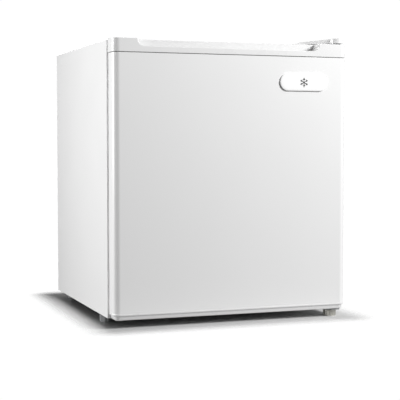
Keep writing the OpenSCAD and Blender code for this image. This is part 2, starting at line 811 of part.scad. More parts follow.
module drip_tray() color("lightcyan") {
    wall = 2;
    y0 = box_y0 - 6;
    difference() {
        union() {
            block([tray_x0 + 6, y0, tray_z1 - tray_h], [tray_x1 - 6, box_y1 - 12, tray_z1]);
            block([tray_x0 - 1.5, y0, tray_z1 - 2], [tray_x1 + 1.5, box_y1 - 12, tray_z1]);
            block([tray_x0 - 1.5, y0 - 4, tray_z1 - tray_h], [tray_x1 + 1.5, y0, tray_z1]);
        }
        block([tray_x0 + 6 + wall, y0 + wall, tray_z1 - tray_h + wall],
              [tray_x1 - 6 - wall, box_y1 - 12 - wall, tray_z1 + cut]);
        block([tray_x0 + 90, y0 - 4 - cut, tray_z1 - tray_h - cut],
              [tray_x1 - 90, y0 - 1.5, tray_z1 - 8]);
    }
}

// ---------------------------------------------------------------- thermostat

module thermostat_housing() color("white") difference() {
    t = stat_t;
    block([stat_x0, stat_y0, stat_z0], [stat_x1, stat_y0 + stat_d, room_z1]);
    block([stat_x0 + t, stat_y0 + t, stat_z0 + t], [stat_x1 - t, stat_y0 + stat_d - t, room_z1 + cut]);
    rod_y(stat_x, stat_y0 - cut, stat_y0 + t + cut, stat_z, neck_r + slip_gap);
    rod_x(stat_x0 - cut, stat_x0 + t + cut, feeler_y, stat_z, feeler_r + slip_gap);
    for (i = [0 : 4])
        block([stat_x0 + 12, stat_y0 + 30 + 20 * i, stat_z0 - cut],
              [stat_x1 - 12, stat_y0 + 38 + 20 * i, stat_z0 + t + cut]);
}

module thermostat_body() color("silver") difference() {
    union() {
        block([stat_x - 18, switch_y, stat_z - 14], [stat_x + 18, switch_y + 34, stat_z + 14]);
        rod_y(stat_x, stat_y0 - 1, switch_y + cut, stat_z, neck_r);
    }
    rod_y(stat_x, stat_y0 - 2, switch_y + 14, stat_z, shaft_r + run_gap);
}

module thermostat_shaft() color("gray")
    rod_y(stat_x, stat_y0 - knob_t + 2, switch_y + 12, stat_z, shaft_r);

module thermostat_knob() color("white") difference() {
    union() {
        rod_y(stat_x, stat_y0 - knob_t - knob_gap, stat_y0 - knob_gap, stat_z, knob_r - 2);
        rod_y(stat_x, stat_y0 - 5, stat_y0 - knob_gap, stat_z, knob_r);
        block([stat_x - 2.5, stat_y0 - knob_t - 4, stat_z - knob_r + 3],
              [stat_x + 2.5, stat_y0 - knob_t, stat_z + knob_r - 3]);
    }
    rod_y(stat_x, stat_y0 - knob_t + 2, stat_y0, stat_z, shaft_r + run_gap);
}

module sensing_bulb() color("peru") {
    x = box_x1 + 4;
    rod_y(x, stat_y0 + 40, stat_y0 + 110, stat_z, 3.2);
    rod_x(x, stat_x0 + 12, feeler_y, stat_z, feeler_r);
}

// ---------------------------------------------------------------- shelf

module wire_shelf() color("white") {
    r = frame_wire / 2;
    x = room_x - 4 - r;
    c = cross_wire / 2;
    weld = 0.4;
    for (s = [-1, 1])
        rod_y(s * x, shelf_y0, shelf_y1, shelf_z, r);
    for (y = [shelf_y0 + r + 2, (shelf_y0 + shelf_y1) / 2, shelf_y1 - r - 2])
        rod_x(-x, x, y, shelf_z, r - 0.3);
    for (i = [0 : cross_wires - 1]) {
        wx = -x + (i + 1) * 2 * x / (cross_wires + 1);
        rod_y(wx, shelf_y0, shelf_y1, shelf_z + r - 0.3 + c - weld, c);
    }
}

// ---------------------------------------------------------------- door

// Plan of the door, moved inwards by inset and reaching back to back
module door_plan(inset, back) {
    x = half_w - inset;
    y = face_y + inset;
    b = back - inset;
    f = door_front_r - inset;
    r = door_rear_r - inset;
    translate([-x + f, y]) square([2 * (x - f), b - r - y]);
    translate([-x, y + f]) square([2 * x, b - r - y - f]);
    translate([-x + r, y + f]) square([2 * (x - r), b - y - f]);
    for (s = [-1, 1]) {
        translate([s * (x - f), y + f]) circle(f);
        translate([s * (x - r), b - r]) circle(r);
    }
}

// Extrudes a plan between two heights
module raise(z0, z1) {
    translate([0, 0, z0]) linear_extrude(z1 - z0) children();
}

module door_skin() color("white") difference() {
    raise(skin_z0, skin_z1) difference() {
        door_plan(skin_inset, hem_y + skin_inset);
        door_plan(skin_inset + sheet_t, hem_y + skin_inset);
    }
    block([-half_w + hem_w, hem_y - 3, skin_z0 - cut], [half_w - hem_w, hem_y + cut, skin_z1 + cut]);
}

// The finger grip: a lowered front with a trough behind its lip, grown by g
module grip_space(g) {
    along_y(face_y - cut - g, grip_y + g) intersection() {
        union() {
            translate([grip_x0, lip_z - g]) square([grip_x1 - grip_x0, grip_drop + g + cut]);
            for (x = [grip_x0, grip_x1])
                translate([x, door_top]) circle(grip_drop + g);
        }
        translate([-half_w, door_bottom]) square([cabinet_w, door_top - door_bottom + (g > 0 ? 0 : cut)]);
    }
    along_y(face_y + lip_t - g, grip_y + g)
        round_rect([grip_x0 + 4 - g, lip_z - trough_h - g], [grip_x1 - 4 + g, lip_z + 6], 5);
}

module door_top_cap() color("white") difference() {
    union() {
        difference() {
            raise(skin_z1, door_top) door_plan(0, cap_rear_y);
            raise(skin_z1 - cut, door_top - cap_t) door_plan(cap_t, cap_rear_y);
        }
        intersection() {
            grip_space(cap_t);
            raise(lip_z - trough_h - cap_t, door_top) door_plan(0.6 * cap_t, cap_rear_y);
        }
        intersection() {
            grip_space(cap_t);
            raise(skin_z1, door_top) door_plan(0, cap_rear_y);
        }
        for (s = [-1, 1])
            rod_z(s * hinge_x, hinge_y, skin_z1, door_top - cut, socket_r);
    }
    grip_space(0);
    for (s = [-1, 1])
        rod_z(s * hinge_x, hinge_y, skin_z1 - cut, door_top + cut, bush_r);
    block([-gasket_x - 2, flange_y - liner_t, skin_z1 - cut],
          [gasket_x + 2, cap_rear_y + cut, gasket_z1 + 2]);
}

module door_bottom_cap() color("white") difference() {
    lip_h = 3.8;
    union() {
        raise(skin_z0 - lip_h, skin_z0) door_plan(0, hem_y);
        raise(door_bottom, skin_z0 - lip_h) door_plan(plinth_inset, hem_y + plinth_inset);
    }
    difference() {
        raise(door_bottom + cap_t, skin_z0 + cut) door_plan(cap_t + plinth_inset, hem_y);
        for (s = [-1, 1])
            rod_z(s * hinge_x, hinge_y, door_bottom, skin_z0, socket_r);
    }
    for (s = [-1, 1])
        rod_z(s * hinge_x, hinge_y, door_bottom - cut, skin_z0 + cut, bush_r);
}

// The bulge and the two uprights of the door liner, moved inwards by inset
module liner_form(inset) {
    block([-bulge_x + inset, flange_y - liner_t - cut, bulge_z0 + inset],
          [bulge_x - inset, bulge_y - inset, bulge_z1 - inset]);
    for (s = [-1, 1])
        block([(s > 0 ? dike_x - dike_w : -dike_x) + inset, flange_y - liner_t - cut, dike_z0 + inset],
              [(s > 0 ? dike_x : -dike_x + dike_w) - inset, dike_y - inset, dike_z1 - inset]);
}

module door_liner() color("whitesmoke") {
    difference() {
        union() {
            block([-flange_x, flange_y - liner_t, flange_z0], [flange_x, flange_y, flange_z1]);
            intersection() {
                liner_form(0);
                block([-half_w, flange_y - liner_t, 0], [half_w, 0, cabinet_top]);
            }
        }
        liner_form(liner_t);
    }
    for (s = [-1, 1], z = [lower_peg_z, upper_peg_z])
        rod_x(s > 0 ? rack_x - rack_t - 1.5 : -dike_x + dike_w - 0.5,
              s > 0 ? dike_x - dike_w + 0.5 : -rack_x + rack_t + 1.5, peg_y, z, peg_r);
}

module door_foam() color("khaki") {
    block([-flange_x, skin_y + sheet_t, flange_z0],
          [flange_x, flange_y - liner_t, lip_z - trough_h - cap_t - 1]);
    intersection() {
        liner_form(liner_t);
        block([-half_w, flange_y - liner_t, 0], [half_w, 0, cabinet_top]);
    }
}

module door_gasket() color("#d8d8d8") {
    along_y(flange_y, front_y - slip_gap) difference() {
        round_rect([-gasket_x, gasket_z0], [gasket_x, gasket_z1], 6);
        round_rect([-gasket_x + gasket_w, gasket_z0 + gasket_w],
                   [gasket_x - gasket_w, gasket_z1 - gasket_w], 3);
    }
}

module hinge_bushes() color("#444444") {
    difference() {
        union() {
            rod_z(hinge_x, hinge_y, skin_z1, door_top, bush_r);
            rod_z(hinge_x, hinge_y, door_top, door_top + bush_flange_t, bush_flange_r);
        }
        rod_z(hinge_x, hinge_y, skin_z1 - cut, cabinet_top, pin_r + run_gap);
    }
    difference() {
        union() {
            rod_z(hinge_x, hinge_y, door_bottom, skin_z0, bush_r);
            rod_z(hinge_x, hinge_y, door_bottom - bush_flange_t, door_bottom, bush_flange_r);
        }
        rod_z(hinge_x, hinge_y, foot_h, skin_z0 + cut, pin_r + run_gap);
    }
}

module door_cap_plugs() color("white") {
    rod_z(-hinge_x, hinge_y, skin_z1 + 8, door_top, bush_r);
    rod_z(-hinge_x, hinge_y, door_top, door_top + 1, bush_flange_r);
    rod_z(-hinge_x, hinge_y, door_bottom, skin_z0 - 2, bush_r);
    rod_z(-hinge_x, hinge_y, door_bottom - bush_flange_t, door_bottom, bush_flange_r);
}

module badge() color("white") {
    x = badge_w / 2 - badge_h / 2;
    along_y(badge_y, skin_y) translate([badge_x, badge_z]) {
        translate([-x, -badge_h / 2]) square([2 * x, badge_h]);
        for (s = [-1, 1])
            translate([s * x, 0]) circle(badge_h / 2);
    }
}

// A door rack: an open bin with a slot each side that drops over the liner's pegs
module door_rack(z0, h, peg_z) {
    y1 = rack_y0 + rack_d;
    t = rack_t;
    difference() {
        block([-rack_x, rack_y0, z0], [rack_x, y1, z0 + h]);
        block([-rack_x + t, rack_y0 + t, z0 + t], [rack_x - t, y1 - t, z0 + h + cut]);
        for (s = [-1, 1]) {
            x0 = s > 0 ? rack_x - t - 2.5 : -rack_x - cut;
            x1 = s > 0 ? rack_x + cut : -rack_x + t + 2.5;
            block([x0, peg_y - peg_r - slip_gap, z0 - cut], [x1, peg_y + peg_r + slip_gap, peg_z]);
            rod_x(x0, x1, peg_y, peg_z, peg_r + slip_gap);
        }
    }
}

module lower_door_rack() color("ghostwhite") door_rack(lower_rack_z, lower_rack_h, lower_peg_z);

module upper_door_rack() color("ghostwhite") door_rack(upper_rack_z, upper_rack_h, upper_peg_z);

cabinet_wrapper();
back_panel();
base_plate();
inner_liner();
insulation_foam();
compressor_plate();
compressor();
compressor_grommets();
compressor_bolts();
start_relay_cover();
suction_tube();
discharge_tube();
filter_drier();
capillary_tube();
condenser_tube();
condenser_wires();
condenser_brackets();
condenser_screws();
cord_gland();
ground_screw();
back_panel_screws();
rear_feet();
left_foot_nut();
left_foot();
right_foot();
bottom_hinge_bracket();
bottom_hinge_screws();
top_hinge_bracket();
top_hinge_screws();
hinge_cover();
hinge_blank_cover();
evaporator_box();
evaporator_hangers();
freezer_frame();
freezer_flap();
tray_rails();
drip_tray();
thermostat_housing();
thermostat_body();
thermostat_shaft();
thermostat_knob();
sensing_bulb();
wire_shelf();
door_skin();
door_top_cap();
door_bottom_cap();
door_foam();
door_liner();
door_gasket();
hinge_bushes();
door_cap_plugs();
badge();
lower_door_rack();
upper_door_rack();
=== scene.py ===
# %% [markdown]
# A compact refrigerator, dressed for its portrait.
# The solid parts arrive as a finished frame in metres: every sheet, cap, pin and pipe already has its size
# and its place. This script adds what the frame leaves plain, which is soft edges, moulded detail, enamel,
# plastic, rubber and metal, and then the light and the camera. We start with the frame, because every
# later piece asks it where to go.

import json
import math

import bmesh
import bpy
from mathutils import Matrix, Vector
from mathutils.geometry import delaunay_2d_cdt

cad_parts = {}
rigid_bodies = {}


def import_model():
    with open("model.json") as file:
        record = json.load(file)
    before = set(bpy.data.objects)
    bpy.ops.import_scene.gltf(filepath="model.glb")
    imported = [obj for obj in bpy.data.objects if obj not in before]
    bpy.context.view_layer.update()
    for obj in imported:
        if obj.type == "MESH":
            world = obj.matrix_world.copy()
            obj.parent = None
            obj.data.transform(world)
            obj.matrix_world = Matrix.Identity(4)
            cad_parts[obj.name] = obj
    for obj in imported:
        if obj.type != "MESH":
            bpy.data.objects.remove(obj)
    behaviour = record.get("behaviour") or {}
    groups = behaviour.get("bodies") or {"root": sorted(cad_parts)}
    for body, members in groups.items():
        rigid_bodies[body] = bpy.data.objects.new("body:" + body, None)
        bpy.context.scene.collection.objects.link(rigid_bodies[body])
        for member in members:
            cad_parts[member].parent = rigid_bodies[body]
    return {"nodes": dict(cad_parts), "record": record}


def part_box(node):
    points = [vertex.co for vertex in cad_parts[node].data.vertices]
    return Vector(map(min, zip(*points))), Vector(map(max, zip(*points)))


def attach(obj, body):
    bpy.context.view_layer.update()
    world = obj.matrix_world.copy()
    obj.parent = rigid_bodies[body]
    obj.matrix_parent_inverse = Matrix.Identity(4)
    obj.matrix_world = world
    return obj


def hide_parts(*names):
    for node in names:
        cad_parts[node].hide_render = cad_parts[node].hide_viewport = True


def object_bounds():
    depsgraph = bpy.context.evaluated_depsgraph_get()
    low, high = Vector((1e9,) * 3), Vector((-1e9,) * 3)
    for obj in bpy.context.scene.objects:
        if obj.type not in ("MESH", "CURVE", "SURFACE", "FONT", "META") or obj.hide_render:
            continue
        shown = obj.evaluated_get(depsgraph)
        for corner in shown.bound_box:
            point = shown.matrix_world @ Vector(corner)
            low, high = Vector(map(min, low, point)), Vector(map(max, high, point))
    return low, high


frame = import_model()
cad_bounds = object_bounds()
nodes = frame["nodes"]
scene = bpy.context.scene
MM = 0.001
print("frame box", [[round(v, 4) for v in corner] for corner in cad_bounds])

# %% [markdown]
# The camera comes first, since it settles what has to look good. It stands low, in front of the door and
# to its left, a long way off with a long lens. The long lens keeps the upright edges nearly parallel, and
# the low stance hides the top panel behind its own front edge.

# %% Camera
CAMERA_SPOT = Vector((-0.7155, -2.0369, 0.3248))
CAMERA_TURN = math.radians(-19.85)
CAMERA_DIP = math.radians(3.10)
LENS = 99.1

back = Vector((math.sin(CAMERA_TURN) * math.cos(CAMERA_DIP),
               -math.cos(CAMERA_TURN) * math.cos(CAMERA_DIP), math.sin(CAMERA_DIP)))
camera_data = bpy.data.cameras.new("camera")
camera_data.lens = LENS
camera_data.sensor_width = 36
camera = bpy.data.objects.new("camera", camera_data)
camera.location = CAMERA_SPOT
camera.rotation_euler = back.to_track_quat("Z", "Y").to_euler()
scene.collection.objects.link(camera)
scene.camera = camera
print("camera looks along", [round(v, 3) for v in -back])

# %% [markdown]
# Finishes are easier to read as sums than as boxes and noodles. `Wire` wraps one output socket and lets
# us write `0.3 + 0.1 * grain`; each operation adds a Math node. `Finish` owns one material and has a
# single way to add any other node: its type, its settings, and what goes into its sockets.

# %% Shader sums
class Wire:
    """One output socket of a material, on which arithmetic adds Math nodes."""

    def __init__(self, finish, socket):
        self.finish = finish
        self.socket = socket

    def math(self, operation, a, b):
        return self.finish.node("ShaderNodeMath", {"operation": operation}, {0: a, 1: b})

    def __add__(self, other):
        return self.math("ADD", self, other)

    def __radd__(self, other):
        return self.math("ADD", other, self)

    def __rsub__(self, other):
        return self.math("SUBTRACT", other, self)

    def __mul__(self, other):
        return self.math("MULTIPLY", self, other)

    def __rmul__(self, other):
        return self.math("MULTIPLY", other, self)


class Finish:
    """One material: a Principled shader and the nodes that feed it."""

    def __init__(self, name, **fixed):
        self.material = bpy.data.materials.new(name)
        self.material.use_nodes = True
        self.tree = self.material.node_tree
        self.shader = self.tree.nodes["Principled BSDF"]
        for socket, value in fixed.items():
            self.shader.inputs[socket.replace("_", " ")].default_value = value

    def node(self, kind, settings=None, inputs=None, out=0):
        """Adds a node; its settings come before what goes into its sockets."""
        made = self.tree.nodes.new(kind)
        for key, value in (settings or {}).items():
            setattr(made, key, value)
        for key, value in (inputs or {}).items():
            if isinstance(value, Wire):
                self.tree.links.new(value.socket, made.inputs[key])
            else:
                made.inputs[key].default_value = value
        return Wire(self, made.outputs[out])

    def feed(self, socket, wire):
        self.tree.links.new(wire.socket, self.shader.inputs[socket])

    def places(self, stretch=(1, 1, 1)):
        """Positions on the piece in metres, stretched along its axes."""
        spot = self.node("ShaderNodeTexCoord", out="Object")
        if tuple(stretch) == (1, 1, 1):
            return spot
        return self.node("ShaderNodeVectorMath", {"operation": "MULTIPLY"}, {0: spot, 1: stretch})

    def noise(self, per_metre, detail=2.0, stretch=(1, 1, 1), rough=0.5):
        """Soft noise from 0 to 1 with about per_metre blobs in a metre."""
        return self.node("ShaderNodeTexNoise", None,
                         {"Vector": self.places(stretch), "Scale": per_metre, "Detail": detail,
                          "Roughness": rough})

    def step(self, wire, low, high):
        """0 below low, 1 above high, smooth between."""
        return self.node("ShaderNodeMapRange", {"interpolation_type": "SMOOTHSTEP"},
                         {"Value": wire, "From Min": low, "From Max": high})

    def tint(self, factor, dark, light):
        """A colour between two, by factor."""
        return self.node("ShaderNodeMix", {"data_type": "RGBA"},
                         {"Factor": factor, 6: (*dark, 1), 7: (*light, 1)}, out=2)

    def relief(self, height, depth, under=None):
        """Height from 0 to 1 turned into a bump depth metres deep."""
        inputs = {"Height": height, "Strength": 1.0, "Distance": depth}
        if under:
            inputs["Normal"] = under
        return self.node("ShaderNodeBump", None, inputs)


print("shader helpers ready")

# %% [markdown]
# Sprayed enamel on steel is never mirror flat. It dries to a faint orange peel a few millimetres across,
# and its gloss drifts a little over the panel. Both come from noise that reads the piece's own metres, so
# the grain is the same size on the cabinet and on the door. The colour hardly moves: white goods stay
# white.

# %% White enamel
def make_enamel():
    finish = Finish("white_enamel", Coat_Roughness=0.12, IOR=1.5)
    drift = finish.noise(3.0, 3)
    peel = finish.noise(330, 2)
    finish.feed("Base Color", finish.tint(drift, (0.785, 0.785, 0.785), (0.81, 0.81, 0.81)))
    finish.feed("Roughness", 0.27 + 0.10 * finish.noise(14, 4))
    finish.feed("Coat Weight", 0.10 + 0.15 * drift)
    finish.feed("Normal", finish.relief(peel, 0.00003))
    return finish


# %% [markdown]
# Moulded parts come out of a polished tool with a slightly cloudy gloss. The caps and the hinge cover
# share one recipe, and the inner parts share another with a fine spark-eroded texture that hides
# fingerprints.

# %% White plastics
def make_gloss_white():
    finish = Finish("gloss_white", IOR=1.49)
    cloud = finish.noise(22, 4)
    finish.feed("Base Color", finish.tint(cloud, (0.75, 0.75, 0.75), (0.775, 0.775, 0.775)))
    finish.feed("Roughness", 0.22 + 0.12 * cloud)
    finish.feed("Normal", finish.relief(finish.noise(900, 1), 0.000006))
    return finish


def make_moulded_white():
    finish = Finish("moulded_white", IOR=1.48)
    grain = finish.noise(1500, 2)
    finish.feed("Base Color", finish.tint(finish.noise(9, 3), (0.76, 0.77, 0.77), (0.80, 0.81, 0.81)))
    finish.feed("Roughness", 0.42 + 0.14 * grain)
    finish.feed("Normal", finish.relief(grain, 0.00002))
    return finish


# %% [markdown]
# The liners are sheets of polystyrene pulled hot over a mould. The sheet thins as it stretches, which
# leaves long, shallow waves that only the reflections show.

# %% Liner
def make_liner():
    finish = Finish("liner_white", IOR=1.52)
    waves = finish.noise(11, 2)
    finish.feed("Base Color", finish.tint(finish.noise(5, 3), (0.80, 0.82, 0.83), (0.83, 0.85, 0.86)))
    finish.feed("Roughness", 0.26 + 0.14 * finish.noise(30, 3))
    fine = finish.relief(finish.noise(700, 1), 0.00001)
    finish.feed("Normal", finish.relief(waves, 0.0008, fine))
    return finish


# %% [markdown]
# Hot-dip galvanised sheet freezes into flat crystals about a centimetre wide, each with its own shade.
# Voronoi cells are exactly that pattern. Zinc-plated screws are too small for crystals and get a fine
# grain instead, yellowed a touch by the chromate bath.

# %% Zinc, galvanised sheet and brass
def make_galvanised():
    finish = Finish("galvanised")
    drift = finish.noise(60, 2)
    crystal = finish.node("ShaderNodeTexVoronoi", {"feature": "F1"},
                          {"Vector": finish.places(), "Scale": 140}, out="Color")
    shade = finish.node("ShaderNodeSeparateColor", None, {"Color": crystal})
    mix = shade * 0.6 + 0.4 * drift
    finish.feed("Base Color", finish.tint(mix, (0.47, 0.48, 0.49), (0.62, 0.63, 0.63)))
    finish.feed("Roughness", 0.36 + 0.16 * shade)
    finish.feed("Metallic", 0.85 + 0.1 * shade)
    finish.feed("Normal", finish.relief(finish.noise(260, 3), 0.00002))
    return finish


def make_plated(name, dark, light):
    finish = Finish(name)
    grain = finish.noise(900, 3)
    finish.feed("Base Color", finish.tint(finish.noise(130, 3), dark, light))
    finish.feed("Roughness", 0.22 + 0.20 * grain)
    finish.feed("Metallic", 0.95 + 0.05 * grain)
    finish.feed("Normal", finish.relief(grain, 0.00001))
    return finish


# %% [markdown]
# Aluminium for the evaporator is rolled sheet, so its grain runs one way. Stretching the noise along the
# rolling direction draws the lines. Copper pipe is drawn and then soldered by hand: it is bright in
# places and browned where the torch passed.

# %% Aluminium and copper
def make_aluminium():
    finish = Finish("aluminium")
    lines = finish.noise(1400, 2, stretch=(0.02, 1, 1))
    finish.feed("Base Color", finish.tint(finish.noise(14, 3), (0.66, 0.68, 0.70), (0.80, 0.81, 0.82)))
    finish.feed("Roughness", 0.30 + 0.20 * lines)
    finish.feed("Metallic", 0.92 + 0.08 * lines)
    finish.feed("Normal", finish.relief(lines, 0.00001))
    return finish


def make_copper():
    finish = Finish("copper")
    heat = finish.step(finish.noise(35, 4), 0.42, 0.68)
    finish.feed("Base Color", finish.tint(heat, (0.74, 0.40, 0.24), (0.30, 0.14, 0.08)))
    finish.feed("Roughness", 0.24 + 0.26 * heat)
    finish.feed("Metallic", 1.0 - 0.25 * heat)
    finish.feed("Normal", finish.relief(finish.noise(500, 2), 0.00002))
    return finish


# %% [markdown]
# The compressor and the condenser are dipped in black enamel and then live where nobody dusts. Grey dust
# shows as paler, rougher patches; the rubber and the black relay cover have a dry, matte skin.

# %% Black enamel, black plastic and rubber
def make_black(name, base, rough, depth, dust):
    finish = Finish(name)
    lint = finish.step(finish.noise(55, 5, rough=0.65), 0.5, 0.8)
    pale = tuple(c + dust for c in base)
    finish.feed("Base Color", finish.tint(lint, base, pale))
    finish.feed("Roughness", rough + 0.25 * lint)
    finish.feed("Normal", finish.relief(finish.noise(420, 3), depth))
    return finish


# %% [markdown]
# The gasket is soft vinyl with a magnet inside. Its skin is matte, and talc and handling leave a slight
# mottle.

# %% Gasket and feet
def make_soft(name, dark, light, rough, depth, per_metre):
    finish = Finish(name)
    finish.feed("Base Color", finish.tint(finish.noise(40, 4), dark, light))
    finish.feed("Roughness", rough + 0.12 * finish.noise(200, 2))
    finish.feed("Normal", finish.relief(finish.noise(per_metre, 3), depth))
    return finish


# %% [markdown]
# The freezer flap, the drip tray and the racks are styrene that lets some light through. The flap and the
# tray are frosted by a textured tool, and the racks are nearly clear. How much light passes is one fixed
# number on the shader; only the haze changes over the surface.

# %% See-through plastics
def make_see_through(name, dark, light, through, rough):
    finish = Finish(name, Transmission_Weight=through, IOR=1.5)
    haze = finish.noise(60, 3)
    finish.feed("Base Color", finish.tint(haze, dark, light))
    finish.feed("Roughness", rough + 0.10 * haze)
    finish.feed("Normal", finish.relief(finish.noise(1100, 2), 0.00001))
    return finish


# %% [markdown]
# Polyurethane foam fills the walls. Nothing of it shows in a whole refrigerator, but a part that is taken
# apart later deserves its cells.

# %% Foam, and the set of finishes
def make_foam():
    finish = Finish("foam", IOR=1.3)
    cells = finish.node("ShaderNodeTexVoronoi", {"feature": "F1"},
                        {"Vector": finish.places(), "Scale": 900}, out="Distance")
    finish.feed("Base Color", finish.tint(finish.noise(18, 4), (0.72, 0.60, 0.30), (0.86, 0.77, 0.50)))
    finish.feed("Roughness", 0.85 + 0.10 * cells)
    finish.feed("Normal", finish.relief(cells, 0.0002))
    return finish


finishes = {
    "painted_white": make_enamel(),
    "gloss_white": make_gloss_white(),
    "moulded_white": make_moulded_white(),
    "liner_white": make_liner(),
    "galvanised": make_galvanised(),
    "zinc": make_plated("zinc", (0.52, 0.51, 0.46), (0.74, 0.73, 0.68)),
    "brass": make_plated("brass", (0.62, 0.46, 0.18), (0.84, 0.67, 0.32)),
    "aluminium": make_aluminium(),
    "copper": make_copper(),
    "black_enamel": make_black("black_enamel", (0.012, 0.012, 0.013), 0.26, 0.00003, 0.05),
    "black_plastic": make_black("black_plastic", (0.018, 0.018, 0.018), 0.48, 0.00004, 0.03),
    "rubber": make_black("rubber", (0.020, 0.020, 0.021), 0.66, 0.00005, 0.03),
    "gasket": make_soft("gasket", (0.60, 0.61, 0.61), (0.68, 0.69, 0.69), 0.52, 0.00003, 600),
    "foot_plastic": make_soft("foot_plastic", (0.16, 0.165, 0.17), (0.21, 0.215, 0.22), 0.50, 0.00003,
                              800),
    "coated_wire": make_soft("coated_wire", (0.78, 0.79, 0.79), (0.83, 0.84, 0.84), 0.28, 0.00002, 500),
    "frosted_plastic": make_see_through("frosted_plastic", (0.80, 0.87, 0.90), (0.88, 0.93, 0.95),
                                        0.45, 0.38),
    "rack_plastic": make_see_through("rack_plastic", (0.84, 0.89, 0.91), (0.92, 0.95, 0.96), 0.60, 0.12),
    "foam": make_foam(),
}
slot_of = {part["node"]: part["material_slot"] for part in frame["record"]["subparts"]}
for name, slot in slot_of.items():
    for holder in nodes[name].material_slots:
        holder.material = finishes[slot].material
print(len(finishes), "finishes on", len(slot_of), "nodes")

# %% [markdown]
# Real edges are never knife sharp. Sheet metal folds over a small radius, and a plastic tool has to be
# rounded so that the part lets go. `softened` copies a solid of the frame, makes its flat faces whole
# again, rounds its edges with a bevel and takes the solid's place. A bevel on the real solid keeps every
# size true, which hand modelling might not. Two pieces need a touch more. The flap's pins have so little
# play in their holes that the flats of a drawn circle would bite, so the copy's pins are a shade thinner.
# The right foot is plated steel here, while its neighbour on the left is plastic.

# %% Rounded copies of the frame's solids
body_of = {node: body for body, members in frame["record"]["behaviour"]["bodies"].items()
           for node in members}


def add_piece(name, mesh, body, slot, stands_for=()):
    """Puts a mesh in the scene as a piece that rides on a body."""
    piece = bpy.data.objects.new(name, mesh)
    scene.collection.objects.link(piece)
    mesh.materials.clear()
    mesh.materials.append(finishes[slot].material)
    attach(piece, body)
    if stands_for:
        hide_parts(*stands_for)
    return piece


SAME_SPOT, STILL_FLAT = 0.002 * MM, math.radians(0.4)


def whole_faces(node):
    """The frame's solid as a bmesh whose flat faces are single faces again."""
    bm = bmesh.new()
    bm.from_mesh(nodes[node].data)
    bmesh.ops.remove_doubles(bm, verts=bm.verts, dist=SAME_SPOT)
    bmesh.ops.dissolve_limit(bm, angle_limit=STILL_FLAT, verts=bm.verts, edges=bm.edges)
    return bm


def settle(piece):
    """Makes the outcome of the piece's modifiers its mesh."""
    graph = bpy.context.evaluated_depsgraph_get()
    done = bpy.data.meshes.new_from_object(piece.evaluated_get(graph))
    piece.modifiers.clear()
    piece.data = done
    return piece


INSIDE_ONLY, CLOSE, SHARP = 1, 1e-6, math.radians(35)


def refill(mesh):
    """Cuts faces of many corners into triangles, which shade right whatever the outline."""
    bm = bmesh.new()
    bm.from_mesh(mesh)
    for face in [face for face in bm.faces if len(face.verts) > 4]:
        verts = list(face.verts)
        turn = face.normal.rotation_difference(Vector((0, 0, 1)))
        outline = [(turn @ (vert.co - verts[0].co)).xy / MM for vert in verts]
        ring = [list(range(len(verts)))]
        spots, _, triangles, sources, _, _ = delaunay_2d_cdt(outline, [], ring, INSIDE_ONLY, CLOSE)
        home = turn.inverted()
        made = [verts[source[0]] if source else bm.verts.new(home @ (spot.to_3d() * MM) + verts[0].co)
                for spot, source in zip(spots, sources)]
        for triangle in triangles:
            bm.faces.new([made[corner] for corner in triangle], face)
        bm.faces.remove(face)
    bm.to_mesh(mesh)
    bm.free()


def round_edges(piece, radius):
    """Bevels the piece's sharp edges and shades the rest smooth."""
    for face in piece.data.polygons:
        face.use_smooth = True
    piece.data.set_sharp_from_angle(angle=SHARP)
    bevel = piece.modifiers.new("edges", "BEVEL")
    bevel.width = radius
    bevel.segments = 3
    bevel.limit_method = "ANGLE"
    bevel.angle_limit = SHARP
    bevel.miter_outer = "MITER_ARC"
    bevel.face_strength_mode = "FSTR_ALL"
    settle(piece)
    refill(piece.data)
    flat = piece.modifiers.new("flat_faces", "WEIGHTED_NORMAL")
    flat.keep_sharp = True
    flat.use_face_influence = True
    return settle(piece)


def softened(node, radius):
    """A round-edged copy that stands for a node of the frame."""
    bm = whole_faces(node)
    mesh = bpy.data.meshes.new(f"{node}_finished")
    bm.to_mesh(mesh)
    bm.free()
    piece = add_piece(mesh.name, mesh, body_of[node], slot_of[node], [node])
    return round_edges(piece, radius * MM)


EDGE_RADII = {
    "cabinet_wrapper": 0.4, "back_panel": 0.3, "base_plate": 0.3, "inner_liner": 0.9,
    "compressor_plate": 0.5, "top_hinge_bracket": 0.5, "bottom_hinge_bracket": 0.5,
    "hinge_cover": 1.2, "door_skin": 0.3, "door_top_cap": 1.2, "door_cap_plugs": 0.3,
    "door_liner": 0.9, "evaporator_box": 0.5, "freezer_frame": 0.5, "freezer_flap": 0.7,
    "tray_rails": 0.4, "drip_tray": 0.7, "thermostat_housing": 1.2, "thermostat_body": 0.6,
    "start_relay_cover": 0.8, "lower_door_rack": 0.9, "upper_door_rack": 0.9,
    "condenser_brackets": 0.4, "left_foot": 0.6, "right_foot": 0.6, "rear_feet": 1.2,
    "cord_gland": 0.6,
}
pieces = {}
for node, radius in EDGE_RADII.items():
    pieces[node] = softened(node, radius)
flap_low, flap_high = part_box("freezer_flap")
hinge_line = Vector((0, (flap_low[1] + flap_high[1]) / 2, flap_high[2] - 5 * MM))
PIN_REACH, PIN_THINNING = 3.3 * MM, 0.06
for vert in pieces["freezer_flap"].data.vertices:
    arm = vert.co - hinge_line
    arm.x = 0
    if arm.length < PIN_REACH:
        vert.co -= arm * PIN_THINNING
right_foot = pieces["right_foot"]
right_foot.data.materials[0] = finishes["zinc"].material
print(len(pieces), "solids with rounded edges")

# %% [markdown]
# Many parts of a refrigerator are one outline that changes size as it rises: a cap, a compressor shell, a
# knob. Drawing the outline once and stacking resized copies of it is quicker and cleaner than shaping a
# block, and the rings give even quads that shade well. `loft` bridges rings of equal length and closes
# both ends. Wire and pipe are simpler still: `bent` rounds the corners of a path and `tube` gives it a
# round section.

